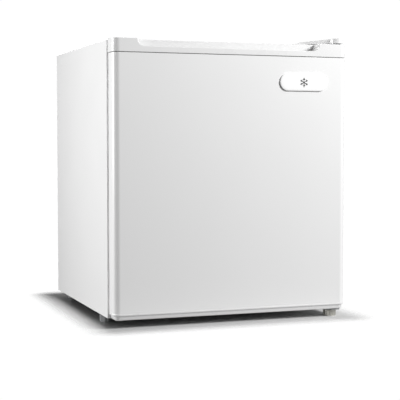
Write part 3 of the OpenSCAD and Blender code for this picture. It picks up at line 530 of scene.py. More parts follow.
# %% Lofts and sweeps
def loft(name, rings, body, slot, stands_for=(), closed=False, smooth_angle=40):
    """A skin through rings of points; closed joins the last ring to the first."""
    bm = bmesh.new()
    loops = [[bm.verts.new(point) for point in ring] for ring in rings]
    pairs = list(zip(loops, loops[1:])) + ([(loops[-1], loops[0])] if closed else [])
    for low, high in pairs:
        for i in range(len(low)):
            j = (i + 1) % len(low)
            bm.faces.new((low[i], low[j], high[j], high[i]))
    if not closed:
        bm.faces.new(loops[0][::-1])
        bm.faces.new(loops[-1])
    bmesh.ops.recalc_face_normals(bm, faces=bm.faces)
    mesh = bpy.data.meshes.new(name)
    bm.to_mesh(mesh)
    bm.free()
    for face in mesh.polygons:
        face.use_smooth = True
    mesh.set_sharp_from_angle(angle=math.radians(smooth_angle))
    return add_piece(name, mesh, body, slot, stands_for)


def corner_arc(centre, radius, start, steps=10):
    """Points on a quarter turn round a centre, from the start angle in degrees."""
    angles = [math.radians(start + 90 * i / steps) for i in range(steps + 1)]
    return [(centre[0] + radius * math.cos(angle), centre[1] + radius * math.sin(angle))
            for angle in angles]


def rounded_outline(x0, y0, x1, y1, front_r, rear_r=None, steps=10):
    """A rectangle with round corners; the two at low y may differ from the two at high y."""
    rear_r = front_r if rear_r is None else rear_r
    return (corner_arc((x1 - rear_r, y1 - rear_r), rear_r, 0, steps)
            + corner_arc((x0 + rear_r, y1 - rear_r), rear_r, 90, steps)
            + corner_arc((x0 + front_r, y0 + front_r), front_r, 180, steps)
            + corner_arc((x1 - front_r, y0 + front_r), front_r, 270, steps))


def circle(centre, radius, axis, count=32):
    """Points on a circle round a centre, square to the x, y or z axis (0, 1 or 2)."""
    first, second = [i for i in range(3) if i != axis]
    ring = []
    for i in range(count):
        angle = 2 * math.pi * i / count
        point = list(centre)
        point[first] += radius * math.cos(angle)
        point[second] += radius * math.sin(angle)
        ring.append(point)
    return ring


def tube(name, paths, radius, body, slot, stands_for=(), sides=4):
    """Round wire or pipe along one or more paths of points."""
    curve = bpy.data.curves.new(name, "CURVE")
    curve.dimensions = "3D"
    curve.bevel_depth = radius
    curve.bevel_resolution = sides
    curve.use_fill_caps = True
    for path in paths:
        spline = curve.splines.new("POLY")
        spline.points.add(len(path) - 1)
        for point, spot in zip(spline.points, path):
            point.co = (*spot, 1)
    holder = bpy.data.objects.new(name, curve)
    scene.collection.objects.link(holder)
    graph = bpy.context.evaluated_depsgraph_get()
    mesh = bpy.data.meshes.new_from_object(holder.evaluated_get(graph))
    bpy.data.objects.remove(holder)
    mesh.name = name
    for face in mesh.polygons:
        face.use_smooth = True
    return add_piece(name, mesh, body, slot, stands_for)


def bent(points, radius, steps=8):
    """A path through corner points, with each corner turned at a radius."""
    path = [Vector(points[0])]
    for before, corner, after in zip(points, points[1:], points[2:]):
        before, corner, after = Vector(before), Vector(corner), Vector(after)
        into, out = (corner - before).normalized(), (after - corner).normalized()
        turn = into.angle(out)
        if turn < 0.01:
            continue
        reach = min(radius * math.tan(turn / 2), (corner - before).length * 0.49,
                    (after - corner).length * 0.49)
        r = reach / math.tan(turn / 2)
        start = corner - into * reach
        centre = start + (out - into * into.dot(out)).normalized() * r
        axis = into.cross(out).normalized()
        for i in range(steps + 1):
            path.append(centre + Matrix.Rotation(turn * i / steps, 3, axis) @ (start - centre))
    path.append(Vector(points[-1]))
    return path


print("loft, outline and tube helpers ready")

# %% [markdown]
# The door is a thin sheet-steel tray with a plastic cap pushed over each end. Where the top cap meets
# the steel there is a fine dark joint, which is what tells the eye that these are two parts. The sheet
# stops a little short of the cap here, and a recessed strip of black rubber sits behind the joint as
# painted shade: it stands in for the shadow down in the narrow gap, which is too shallow here to go dark
# on its own.

# %% Door skin joint
door_low, door_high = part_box("door_top_cap")
skin_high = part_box("door_skin")[1]
JOINT_GAP, TOP_EDGE = 0.9 * MM, 0.5 * MM
for vert in pieces["door_skin"].data.vertices:
    if vert.co.z > skin_high[2] - TOP_EDGE:
        vert.co.z -= JOINT_GAP
FRONT_CORNER, REAR_CORNER = 12 * MM, 8 * MM


def door_ring(inset, z):
    """The door's outline moved inwards, at a height."""
    x = door_high[0] - inset
    outline = rounded_outline(-x, door_low[1] + inset, x, skin_high[1] - inset, FRONT_CORNER - inset,
                              REAR_CORNER - inset)
    return [(px, py, z) for px, py in outline]


# The black strip below is painted shade, a dark loop put in the joint where only its shadow would be.
shade_strip_low, shade_strip_high = skin_high[2] - 3 * MM, skin_high[2] + 0.2 * MM
loft("top_cap_painted_shade_strip", [door_ring(1.4 * MM, shade_strip_low), door_ring(1.4 * MM, shade_strip_high),
                      door_ring(2.6 * MM, shade_strip_high), door_ring(2.6 * MM, shade_strip_low)],
     "door", "rubber", closed=True)
print("joint of", round(JOINT_GAP * 1000, 2), "mm under the top cap")

# %% [markdown]
# The bottom cap has a raised bead where it takes the sheet, and below it the plastic leans inwards so that
# the mould can let go and so that a foot doesn't scuff it. The bead catches the light and the leaning band
# stays darker. Both come from one loft of the door's outline.

# %% Bottom cap
cap_low, cap_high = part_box("door_bottom_cap")
top, bottom = cap_high[2], cap_low[2]
bead_profile = [(3.0, top), (0.7, top), (0.2, top - 0.3 * MM), (0.0, top - 0.9 * MM),
                (0.0, top - 2.6 * MM), (0.3, top - 3.4 * MM), (0.9, top - 3.9 * MM),
                (1.6, top - 4.0 * MM), (1.9, top - 4.4 * MM), (2.3, top - 5.2 * MM),
                (3.6, bottom + 1.6 * MM), (4.2, bottom + 0.6 * MM), (5.2, bottom), (7.0, bottom)]
loft("door_bottom_cap_finished", [door_ring(inset * MM, z) for inset, z in bead_profile], "door",
     "gloss_white", ["door_bottom_cap"])
print("bottom cap", round((top - bottom) * 1000, 1), "mm high")

# %% [markdown]
# The cover over the top hinge is moulded as a low ramp that rises towards the pin, so a cloth slides off
# it. The solid underneath is a plain block of the full height, so its copy only needs its top pulled
# down towards the left. The blank on the left side is a thin plate with a plug in its screw hole.

# %% Hinge cover and blank
cover_low, cover_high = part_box("hinge_cover")
RAMP_END, RAMP_DROP = 0.85, 5.5 * MM
for vert in pieces["hinge_cover"].data.vertices:
    along = (vert.co.x - cover_low[0]) / (cover_high[0] - cover_low[0])
    rise = min(max(along / RAMP_END, 0.0), 1.0)
    rise = rise * rise * (3 - 2 * rise)
    share = max(vert.co.z - cover_low[2], 0) / (cover_high[2] - cover_low[2])
    vert.co.z -= share * (1 - rise) * RAMP_DROP

blank_low, blank_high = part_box("hinge_blank_cover")
PLATE, PLATE_CORNER, PLUG_INSET = 1.1 * MM, 6 * MM, 9 * MM


def blank_ring(inset, z):
    outline = rounded_outline(blank_low[0] + inset, blank_low[1] + inset, blank_high[0] - inset,
                              blank_high[1] - inset, PLATE_CORNER - inset)
    return [(x, y, z) for x, y in outline]


z0 = blank_low[2]
loft("hinge_blank_plate", [blank_ring(0, z0), blank_ring(0, z0 + 0.7 * PLATE),
                           blank_ring(0.3 * MM, z0 + PLATE), blank_ring(1.2 * MM, z0 + PLATE)],
     "cabinet", "gloss_white", ["hinge_blank_cover"])
plug_x, plug_y = blank_low[0] + PLUG_INSET, blank_low[1] + PLUG_INSET
plug_profile = [(3.0, 0.4), (3.0, 1.8), (2.6, 2.3), (1.6, 2.6), (0.4, 2.7)]
loft("hinge_blank_plug", [circle((plug_x, plug_y, z0 + h * MM), r * MM, 2) for r, h in plug_profile],
     "cabinet", "black_plastic")
print("blank plate", round(PLATE * 1000, 1), "mm thick")

# %% [markdown]
# The badge is a domed pill stuck to the steel. A dome is a loft whose rings shrink quickly near the top,
# and its plain six-armed frost star is cut from thin dark film. The star is drawn with bars so that every
# arm is the same. The badge has a whiter, glossier plastic of its own, so that it stands out on the door.

# %% Badge
badge_low, badge_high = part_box("badge")
badge_mid = ((badge_low[0] + badge_high[0]) / 2, (badge_low[2] + badge_high[2]) / 2)
badge_depth = badge_high[1] - badge_low[1]
half_long = (badge_high[0] - badge_low[0]) / 2
half_tall = (badge_high[2] - badge_low[2]) / 2


def pill_ring(inset, y):
    shape = rounded_outline(-half_long + inset, -half_tall + inset, half_long - inset, half_tall - inset,
                            half_tall - inset - 0.01 * MM, steps=16)
    return [(badge_mid[0] + x, y, badge_mid[1] + z) for x, z in shape]


badge_profile = [(0.3, 0.0), (0.0, 0.25), (0.0, 0.55), (0.25, 0.70), (0.8, 0.82), (2.0, 0.90),
                 (4.5, 0.94), (9.0, 0.95)]
badge = loft("badge_finished", [pill_ring(inset * MM, badge_high[1] - badge_depth * deep)
                                for inset, deep in badge_profile], "door", "gloss_white", ["badge"])
badge_white = Finish("badge_white", IOR=1.5, Coat_Roughness=0.05)
badge_cloud = badge_white.noise(30, 3)
badge_white.feed("Base Color", badge_white.tint(badge_cloud, (0.93, 0.93, 0.93), (0.96, 0.96, 0.96)))
badge_white.feed("Roughness", 0.16 + 0.10 * badge_cloud)
badge_white.feed("Coat Weight", 0.3 + 0.2 * badge_cloud)
badge.data.materials[0] = badge_white.material

star_bm = bmesh.new()
STAR_REACH, BAR, BAR_DEEP = 8.5 * MM, 1.3 * MM, 0.35 * MM
TWIG_START, TWIG_LONG, TWIG_TURN = 0.52, 3.0 * MM, 50


def star_bar(start, end, width):
    """A flat bar between two spots, proud of the badge, with its back sunk into the dome."""
    side = (end - start).normalized().orthogonal() * width / 2
    corners = [start + side, end + side, end - side, start - side]
    outer, inner = [[star_bm.verts.new((badge_mid[0] + c.x, y, badge_mid[1] + c.y)) for c in corners]
                    for y in (badge_low[1], badge_low[1] + BAR_DEEP)]
    star_bm.faces.new(outer)
    for i in range(4):
        star_bm.faces.new((outer[i], inner[i], inner[(i + 1) % 4], outer[(i + 1) % 4]))


for arm in range(6):
    way = Vector((math.cos(math.radians(60 * arm + 30)), math.sin(math.radians(60 * arm + 30))))
    star_bar(way * 0.4 * MM, way * STAR_REACH, BAR)
    fork = way * STAR_REACH * TWIG_START
    for side in (-1, 1):
        twig = Matrix.Rotation(math.radians(TWIG_TURN * side), 2) @ way
        star_bar(fork, fork + twig * TWIG_LONG, BAR * 0.8)
bmesh.ops.recalc_face_normals(star_bm, faces=star_bm.faces)
star_mesh = bpy.data.meshes.new("badge_star")
star_bm.to_mesh(star_mesh)
star_bm.free()
star = add_piece("badge_star", star_mesh, "door", "gloss_white")
star.data.materials[0] = finishes["black_plastic"].material
print("badge", round(half_long * 2000, 1), "x", round(half_tall * 2000, 1), "mm")

# %% [markdown]
# The gasket is one extruded vinyl section, cut at 45 degrees and welded into a frame, so a plain mitred
# sweep is exactly how the real one is made. Its section has a flat pad over the magnet and a bellows
# that lets the pad reach for the steel.

# %% Door gasket
gasket_low, gasket_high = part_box("door_gasket")
SECTION = [(1.0, 0.0), (14.0, 0.0), (14.6, 0.8), (13.6, 1.8), (14.4, 2.8), (13.7, 3.8), (14.7, 4.9),
           (15.0, 6.2), (14.7, 7.6), (13.8, 8.1), (3.4, 8.1), (1.4, 7.5), (0.1, 6.3), (0.4, 5.0),
           (1.6, 4.0), (0.8, 2.9), (1.8, 1.9), (0.5, 0.9)]


def gasket_ring(sx, sz):
    """The section at one corner of the frame, whose side and end are given as -1 or 1."""
    x = gasket_high[0] if sx > 0 else gasket_low[0]
    z = gasket_high[2] if sz > 0 else gasket_low[2]
    return [(x - sx * across * MM, gasket_low[1] + deep * MM, z - sz * across * MM)
            for across, deep in SECTION]


loft("door_gasket_finished", [gasket_ring(*c) for c in ((-1, -1), (1, -1), (1, 1), (-1, 1))],
     "door", "gasket", ["door_gasket"], closed=True, smooth_angle=70)
print("gasket frame", [round(v, 3) for v in gasket_low], [round(v, 3) for v in gasket_high])

# %% [markdown]
# The shelf is bent and welded wire with a plastic coat. Wires are curves with a round section: the side
# rails run into the front and rear rails through bends, and the thin wires lie across on top.

# %% Wire shelf
shelf_low, shelf_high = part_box("wire_shelf")
RAIL, WIRE, WIRE_COUNT = 2.5 * MM, 1.5 * MM, 17
rail_z = shelf_low[2] + RAIL
x1 = shelf_high[0] - RAIL
y0, y1 = shelf_low[1] + RAIL, shelf_high[1] - RAIL
frame_path = bent([(0, y0, rail_z), (x1, y0, rail_z), (x1, y1, rail_z), (-x1, y1, rail_z),
                   (-x1, y0, rail_z), (-0.001, y0, rail_z)], 14 * MM)
middle_y = (y0 + y1) / 2
tube("shelf_frame", [frame_path, [(-x1, middle_y, rail_z), (x1, middle_y, rail_z)]], RAIL, "shelf",
     "coated_wire", ["wire_shelf"])
wire_z = rail_z + RAIL + WIRE - 0.5 * MM
wire_paths = []
for i in range(WIRE_COUNT):
    x = -x1 + (i + 1) * 2 * x1 / (WIRE_COUNT + 1)
    wire = [(x, y0 - 1.2 * MM, wire_z - 2.2 * MM), (x, y0 + 0.6 * MM, wire_z), (x, y1, wire_z)]
    wire_paths.append(bent(wire, 1.5 * MM, 4))
tube("shelf_wires", wire_paths, WIRE, "shelf", "coated_wire")
print(len(wire_paths), "shelf wires")

# %% [markdown]
# The condenser is a steel pipe bent into a ladder with thin wires spot-welded on both sides. It sheds the
# heat, so it hangs in the open behind the back panel. Pipe and wires are curves again; the runs take
# their top and their ends from the imported solids and keep a set pitch, and the wires take their spacing
# from the imported solids.

# %% Condenser
pipe_low, pipe_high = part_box("condenser_tube")
PIPE_R, PITCH, RUNS = 2.4 * MM, 28 * MM, 9
pipe_y = (pipe_low[1] + pipe_high[1]) / 2
run_top = pipe_high[2] - PIPE_R
riser = pipe_high[0] - PIPE_R
run_x = riser - 30 * MM
corners = [(riser, pipe_y, pipe_low[2]), (riser, pipe_y, run_top)]
for i in range(RUNS - 1):
    z = run_top - i * PITCH
    turn_x = (-1 if i % 2 == 0 else 1) * (run_x + PITCH / 2)
    corners += [(turn_x, pipe_y, z), (turn_x, pipe_y, z - PITCH)]
corners += [(-riser, pipe_y, run_top - (RUNS - 1) * PITCH), (-riser, pipe_y, pipe_low[2])]
tube("condenser_pipe", [bent(corners, 14 * MM, 10)], PIPE_R, "cabinet", "black_enamel", ["condenser_tube"])
fin_low, fin_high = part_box("condenser_wires")
FIN_R, FIN_COUNT = 0.75 * MM, 23
fins = []
for i in range(FIN_COUNT):
    x = fin_low[0] + FIN_R + i * (fin_high[0] - fin_low[0] - 2 * FIN_R) / (FIN_COUNT - 1)
    for y in (fin_low[1] + FIN_R, fin_high[1] - FIN_R):
        fins.append([(x, y, fin_low[2]), (x, y, fin_high[2])])
tube("condenser_fins", fins, FIN_R, "cabinet", "black_enamel", ["condenser_wires"], sides=1)
print(RUNS, "runs and", len(fins), "wires")

# %% [markdown]
# Refrigerant lines are soft copper, bent by hand over a former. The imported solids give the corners, and
# `bent` rounds them the way a former would. The drier is a short fat copper can with necked ends. The
# closed stub on the compressor is where the factory filled in the refrigerant.

# %% Refrigerant lines
def line_through(node, corners, radius, former):
    """A copper line standing for a node, through corners in metres."""
    return tube(f"{node}_bent", [bent(corners, former, 8)], radius, "cabinet", "copper", [node])


comp_low, comp_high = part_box("compressor")
POT_TALL = 118 * MM
pot_x = (comp_low[0] + comp_high[0]) / 2
pot_y = (comp_low[1] + comp_high[1]) / 2
pot_z0 = comp_high[2] - POT_TALL
in_pot = comp_high[2] - 1 * MM

suction_low, suction_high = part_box("suction_tube")
SUCTION_R = 3.2 * MM
sx = (suction_low[0] + suction_high[0]) / 2
sy = suction_low[1] + SUCTION_R
wall_y = suction_high[1] - SUCTION_R
wall_z = suction_high[2] - SUCTION_R
above = comp_high[2] + 8 * MM
line_through("suction_tube", [(sx, sy, in_pot), (sx, sy, above), (sx, wall_y, above), (sx, wall_y, wall_z),
                              (sx, wall_y - 7.8 * MM, wall_z)], SUCTION_R, 9 * MM)

out_low, out_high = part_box("discharge_tube")
dx, dy = out_low[0] + PIPE_R, out_low[1] + PIPE_R
across_x, across_z = out_high[0] - PIPE_R, out_low[2] + PIPE_R
above = comp_high[2] + 9 * MM
line_through("discharge_tube", [(dx, dy, in_pot), (dx, dy, above), (dx, pipe_y, above),
                                (dx, pipe_y, across_z), (across_x, pipe_y, across_z),
                                (across_x, pipe_y, out_high[2])], PIPE_R, 12 * MM)

drier_low, drier_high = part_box("filter_drier")
DRIER_R, DRIER_LONG = 8 * MM, 50 * MM
dry_y, dry_z = drier_low[1] + DRIER_R, drier_low[2] + DRIER_R
dry_x1 = drier_high[0]
dry_x0 = dry_x1 - DRIER_LONG
line_through("filter_drier", [(-riser, pipe_y, drier_high[2]), (-riser, pipe_y, dry_z),
                              (-riser, dry_y, dry_z), (dry_x0 + 4 * MM, dry_y, dry_z)], PIPE_R, 9 * MM)
can_profile = [(0, 2.5), (3.5, 2.8), (6, 4.2), (8.5, 7.0), (10.5, 8.0), (14, 8.0), (15, 7.4), (16, 8.0),
               (34, 8.0), (35, 7.4), (36, 8.0), (40, 8.0), (42, 7.0), (44.5, 4.0), (47, 2.2), (50, 1.8)]
loft("drier_can", [circle((dry_x0 + x * MM, dry_y, dry_z), r * MM, 0) for x, r in can_profile],
     "cabinet", "copper")

fine_low, fine_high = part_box("capillary_tube")
fine_r = (fine_high[0] - fine_low[0]) - 20 * MM
fx, fz = fine_high[0] - fine_r, fine_high[2] - fine_r
line_through("capillary_tube", [(dry_x1 - 1 * MM, dry_y, dry_z), (fx, dry_y, dry_z), (fx, wall_y, dry_z),
                                (fx, wall_y, fz), (fx, fine_low[1], fz)], fine_r, 6 * MM)

stub = [(-66, 50), (-84, 50), (-84, 92)]
stub = [(pot_x + x * MM, pot_y + 18 * MM, pot_z0 + z * MM) for x, z in stub]
tube("compressor_fill_stub", [bent(stub, 8 * MM)], 3 * MM, "cabinet", "copper")
print("drier can", round(DRIER_LONG * 1000), "mm long, capillary", round(fine_r * 2000, 1), "mm thick")

# %% [markdown]
# A compressor is a pump and a motor hung inside a welded steel pot. Two deep-drawn halves meet in a
# flanged seam, and four rubber-footed bolts hold it. The pot is a loft of a stadium outline, whose rings
# swell from the base, step out at the weld and close in a dome.

# %% Compressor
POT_W, POT_D = 146 * MM, 104 * MM


def pot_ring(inset, z):
    shape = rounded_outline(-POT_W / 2 + inset, -POT_D / 2 + inset, POT_W / 2 - inset, POT_D / 2 - inset,
                            POT_D / 2 - inset - 0.01 * MM, steps=14)
    return [(pot_x + x, pot_y + y, z) for x, y in shape]


pot_profile = [(30, 0), (20, 0.4), (12, 2.0), (6, 5.5), (2, 11), (0.4, 20), (0, 34), (0, 62), (-0.4, 63.5),
               (-2.6, 64.2), (-3.0, 65.5), (-3.0, 68.0), (-2.4, 69.2), (0.2, 70), (0.6, 76), (1.6, 88),
               (5, 100), (11, 109), (20, 115), (30, 117.4), (38, 118)]
loft("compressor_pot", [pot_ring(inset * MM, pot_z0 + z * MM) for inset, z in pot_profile], "cabinet",
     "black_enamel", ["compressor"])


EASED = 0.5 * MM


def slab(name, x0, y0, x1, y1, corner, z0, z1):
    """A flat black plate with round corners and eased edges."""
    rings = []
    for inset, z in ((EASED, z0), (0, z0 + EASED), (0, z1 - EASED), (EASED, z1)):
        outline = rounded_outline(x0 + inset, y0 + inset, x1 - inset, y1 - inset, corner - inset, steps=6)
        rings.append([(x, y, z) for x, y in outline])
    loft(name, rings, "cabinet", "black_enamel")


foot_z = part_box("compressor_grommets")[1][2] - 6 * MM
slab("compressor_foot_plate", comp_low[0], comp_low[1], comp_high[0], comp_high[1], 10 * MM, foot_z,
     foot_z + 2.5 * MM)
slab("compressor_saddle", pot_x - 40 * MM, pot_y - 30 * MM, pot_x + 40 * MM, pot_y + 30 * MM, 8 * MM,
     foot_z + 2 * MM, pot_z0 + 3 * MM)
print("compressor pot", round(POT_W * 1000), "x", round(POT_D * 1000), "mm")

# %% [markdown]
# The thermostat knob is turned with wet or cold fingers, so its rim is fluted. A fluted outline is a
# circle whose radius swings with the angle. A narrow grip runs across it, with a dark line as pointer.

# %% Thermostat knob
knob_low, knob_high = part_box("thermostat_knob")
knob_x = (knob_low[0] + knob_high[0]) / 2
knob_z = (knob_low[2] + knob_high[2]) / 2
KNOB_R = (knob_high[0] - knob_low[0]) / 2
FLUTES, KNOB_STEPS = 18, 144
knob_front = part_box("thermostat_shaft")[0][1] - 3.5 * MM


def knob_ring(radius, y, flute):
    ring = []
    for i in range(KNOB_STEPS):
        angle = 2 * math.pi * i / KNOB_STEPS
        r = radius - flute * (0.5 - 0.5 * math.cos(FLUTES * angle))
        ring.append((knob_x + r * math.cos(angle), y, knob_z + r * math.sin(angle)))
    return ring


base_y = knob_high[1]
knob_profile = [(KNOB_R - 0.6 * MM, base_y, 0), (KNOB_R, base_y - 0.5 * MM, 0),
                (KNOB_R, base_y - 2.6 * MM, 0), (KNOB_R - 0.7 * MM, base_y - 3.3 * MM, 0),
                (KNOB_R - 1.6 * MM, base_y - 3.8 * MM, 0.9 * MM),
                (KNOB_R - 2.0 * MM, knob_front + 1.4 * MM, 0.9 * MM),
                (KNOB_R - 2.6 * MM, knob_front + 0.3 * MM, 0.5 * MM), (KNOB_R - 3.8 * MM, knob_front, 0),
                (KNOB_R - 9 * MM, knob_front + 0.2 * MM, 0)]
loft("thermostat_knob_finished", [knob_ring(*ring) for ring in knob_profile], "thermostat_dial",
     "moulded_white", ["thermostat_knob"])


def bar_ring(box, y, inset, corner):
    """A round-cornered bar's outline in the plane at y; box is x0, z0, x1, z1."""
    outline = rounded_outline(box[0] + inset, box[1] + inset, box[2] - inset, box[3] - inset,
                              corner - inset * 0.6, steps=5)
    return [(x, y, z) for x, z in outline]


grip = (knob_x - 2.5 * MM, knob_low[2] + 3 * MM, knob_x + 2.5 * MM, knob_high[2] - 3 * MM)
grip_profile = [(knob_front + 0.5 * MM, 0), (knob_low[1] + 0.7 * MM, 0.2 * MM), (knob_low[1], 0.9 * MM)]
loft("thermostat_knob_grip", [bar_ring(grip, y, inset, 2.0 * MM) for y, inset in grip_profile],
     "thermostat_dial", "moulded_white")
pointer = (knob_x - 0.5 * MM, knob_high[2] - 8 * MM, knob_x + 0.5 * MM, knob_high[2] - 4.2 * MM)
pointer_mark = loft("thermostat_pointer", [bar_ring(pointer, y, 0, 0.4 * MM)
                                           for y in (knob_low[1] + 0.4 * MM, knob_low[1])],
                    "thermostat_dial", "moulded_white")
pointer_mark.data.materials[0] = finishes["black_plastic"].material
print("knob of", round(KNOB_R * 2000, 1), "mm with", FLUTES, "flutes")

# %% [markdown]
# Raised marks on the housing show the settings. They are moulded with it, and each is a short bar that
# points at the knob's axis; the bars grow from the warmest setting to the coldest.

# %% Thermostat marks
MARK_COUNT, COLDEST, SWEEP = 8, 225, 270
MARK_GAP, MARK_LONG, MARK_GROWTH, MARK_HALF = 2.5 * MM, 1.5 * MM, 0.5 * MM, 0.55 * MM
FOOT_IN, FACE_OUT, NARROWER = 0.3 * MM, -0.5 * MM, 0.7
hub = Vector((knob_x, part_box("thermostat_housing")[0][1], knob_z))
marks = bmesh.new()
for i in range(MARK_COUNT):
    angle = math.radians(COLDEST - SWEEP * i / (MARK_COUNT - 1))
    way = Vector((math.cos(angle), 0, math.sin(angle)))
    side = Vector((-way.z, 0, way.x)) * MARK_HALF
    inner = hub + way * (KNOB_R + MARK_GAP)
    outer = inner + way * (MARK_LONG + MARK_GROWTH * i)
    rings = []
    for shift, share in ((FOOT_IN, 1.0), (FACE_OUT, NARROWER)):
        corners = (inner - side * share, outer - side * share, outer + side * share, inner + side * share)
        rings.append([marks.verts.new(corner + Vector((0, shift, 0))) for corner in corners])
    foot, face = rings
    marks.faces.new(face)
    for j in range(4):
        marks.faces.new((foot[j], foot[(j + 1) % 4], face[(j + 1) % 4], face[j]))
bmesh.ops.recalc_face_normals(marks, faces=marks.faces)
marks_mesh = bpy.data.meshes.new("thermostat_marks")
marks.to_mesh(marks_mesh)
marks.free()
add_piece("thermostat_marks", marks_mesh, body_of["thermostat_housing"], "moulded_white")
print(MARK_COUNT, "marks round the knob")

# %% [markdown]
# The thermostat feels the cold through a gas-filled copper bulb clipped to the evaporator. The bulb is a
# capsule, so its rings go from a small end to the full radius and back, and a thin feeler line ties it to
# the evaporator.

# %% Sensing bulb
FEELER_Y, FEELER_R = -0.015, 1.3 * MM
bulb_low, bulb_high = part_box("sensing_bulb")
bulb_r = (bulb_high[2] - bulb_low[2]) / 2
bulb_x, bulb_z = bulb_low[0] + bulb_r, bulb_low[2] + bulb_r
end_profile = [(0.3, 0), (0.7, 0.2), (0.95, 0.9), (1.0, 2.0)]
bulb_profile = [(share, bulb_low[1] + deep * MM) for share, deep in end_profile]
bulb_profile += [(share, bulb_high[1] - deep * MM) for share, deep in end_profile[::-1]]
loft("sensing_bulb_can", [circle((bulb_x, y, bulb_z), bulb_r * share, 1, 24) for share, y in bulb_profile],
     body_of["sensing_bulb"], "copper", ["sensing_bulb"])
tube("sensing_bulb_feeler", [[(bulb_x, FEELER_Y, bulb_z), (bulb_high[0], FEELER_Y, bulb_z)]], FEELER_R,
     body_of["sensing_bulb"], "copper")
print("bulb", round((bulb_high[1] - bulb_low[1]) * 1000), "mm long")

# %% [markdown]
# The evaporator is two sheets rolled together, with channels blown up between them. They show as a soft
# serpentine ridge on its flat sides, so a tube half sunk into each side is all that is seen of them.

# %% Evaporator channels
chill_low, chill_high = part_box("evaporator_box")
CHANNEL_R, CHANNEL_BEND, CHANNEL_PITCH, PASSES = 1.6 * MM, 7.8 * MM, 16 * MM, 4
front, rear_end = chill_low[1] + 16 * MM, chill_high[1] - 14 * MM
for name, x in (("left", chill_low[0]), ("right", chill_high[0])):
    snake = []
    for i in range(PASSES):
        z = chill_low[2] + CHANNEL_PITCH * (i + 1)
        run = [(x, front, z), (x, rear_end, z)]
        snake += run if i % 2 == 0 else run[::-1]
    tube(f"evaporator_channel_{name}", [bent(snake, CHANNEL_BEND)], CHANNEL_R, body_of["evaporator_box"],
         "aluminium")
print("channels on both sides of the freezer box")

# %% [markdown]
# White goods on a white ground are all about light. A key light high on the right washes the door from
# its upper right corner. A lamp on the left has a narrow beam and lifts the side panel towards the front,
# one behind lights the back, and a weak softbox overhead fills the rest. The backdrop is white to the eye
# but gives off less light than it shows, which keeps the white panels from melting into it. The view
# transform is the standard one, so that white stays white.

# %% Lights and backdrop
scene.view_settings.view_transform = "Standard"


def add_panel_light(name, spot, aim, size, power, spread=180):
    """A soft rectangular light at spot, facing aim; a smaller spread is a honeycomb grid on it."""
    data = bpy.data.lights.new(name, "AREA")
    data.shape = "RECTANGLE"
    data.size, data.size_y = size
    data.energy = power
    data.spread = math.radians(spread)
    lamp = bpy.data.objects.new(name, data)
    lamp.location = spot
    lamp.rotation_euler = (Vector(spot) - Vector(aim)).to_track_quat("Z", "Y").to_euler()
    scene.collection.objects.link(lamp)
    return lamp


add_panel_light("key_right", (1.45, -1.7, 1.4), (0.15, -0.2, 0.4), (0.7, 0.7), 71)
fill = add_panel_light("fill_left", (-1.88, 0.33, 0.8), (-0.22, -0.40, 0.33), (0.7, 1.1), 10.4, 80)
add_panel_light("softbox_top", (0.0, -0.1, 1.9), (0.0, -0.1, 0.0), (2.4, 2.4), 3.5)
rear = add_panel_light("rear", (0.7, 2.3, 1.2), (0.0, 0.2, 0.2), (1.6, 1.2), 34)

world = bpy.data.worlds.new("studio")
world.use_nodes = True
SHOWN, GIVEN_OFF = 1.02, 0.17
sky = world.node_tree.nodes["Background"]
backdrop = world.node_tree.nodes.new("ShaderNodeBackground")
for ground, strength in ((sky, GIVEN_OFF), (backdrop, SHOWN)):
    ground.inputs["Color"].default_value = (1, 1, 1, 1)
    ground.inputs["Strength"].default_value = strength
seen = world.node_tree.nodes.new("ShaderNodeLightPath")
pick = world.node_tree.nodes.new("ShaderNodeMixShader")
links = world.node_tree.links
links.new(seen.outputs["Is Camera Ray"], pick.inputs[0])
links.new(sky.outputs[0], pick.inputs[1])
links.new(backdrop.outputs[0], pick.inputs[2])
links.new(pick.outputs[0], world.node_tree.nodes["World Output"].inputs[0])
scene.world = world

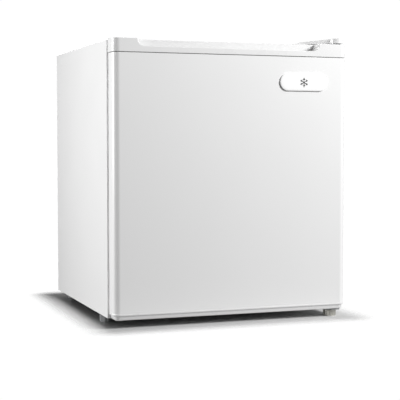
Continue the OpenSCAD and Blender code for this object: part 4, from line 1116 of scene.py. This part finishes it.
# %% [markdown]
# The floor is a plain pale sheet. It thins out into the backdrop near the object, so it has no visible
# horizon, the way a paper sweep has none. The nearby part, where it is opaque, catches the real shadow of
# the lamps, and the fade also paints shade: the grey of the floor shows only within a set distance of
# the cabinet's footprint, so the dark ring round the base is partly real shadow and partly painted
# shadow that ends where the fade ends.

# %% Floor
# The fade's reach is painted shadow too: it sets how far out from the footprint the grey floor, and the
# dark ring round the base, can show.
FLOOR_RADIUS, PAINTED_SHADOW_FADE = 1.6, 0.062
floor_bm = bmesh.new()
bmesh.ops.create_circle(floor_bm, cap_ends=True, segments=96, radius=FLOOR_RADIUS)
floor_mesh = bpy.data.meshes.new("floor")
floor_bm.to_mesh(floor_mesh)
floor_bm.free()
floor = bpy.data.objects.new("floor", floor_mesh)
scene.collection.objects.link(floor)

paper = Finish("paper_floor", Base_Color=(0.70, 0.70, 0.70, 1), Roughness=0.35, IOR=1.3)
half_size = (cad_bounds[1][0], cad_bounds[1][1], 1.0)
beyond = paper.places()
for operation, against in (("ABSOLUTE", half_size), ("SUBTRACT", half_size), ("MAXIMUM", (0, 0, 0))):
    beyond = paper.node("ShaderNodeVectorMath", {"operation": operation}, {0: beyond, 1: against})
reach = paper.node("ShaderNodeVectorMath", {"operation": "LENGTH"}, {0: beyond}, out="Value")
clear = paper.node("ShaderNodeBsdfTransparent")
# Opaque grey floor near the footprint, clear beyond: a painted shadow falloff on top of the real shadow.
fade = paper.node("ShaderNodeMixShader", None, {0: paper.step(reach, 0.0, PAINTED_SHADOW_FADE)})
paper.tree.links.new(paper.shader.outputs[0], fade.socket.node.inputs[1])
paper.tree.links.new(clear.socket, fade.socket.node.inputs[2])
paper.tree.links.new(fade.socket, paper.tree.nodes["Material Output"].inputs[0])
floor_mesh.materials.append(paper.material)
print("floor fades out within", PAINTED_SHADOW_FADE, "m of the cabinet")

# %% [markdown]
# The left and rear lamps are kept off the floor, as a studio does with flags, so that the shadow under
# the edges stays dark and narrow. A lamp's receiver collection lists the only things it lights.

# %% Lamps kept off the floor
object_only = bpy.data.collections.new("object_only")
for thing in scene.collection.objects:
    if thing.type == "MESH" and thing is not floor:
        object_only.objects.link(thing)
for lamp in (fill, rear):
    lamp.light_linking.receiver_collection = object_only
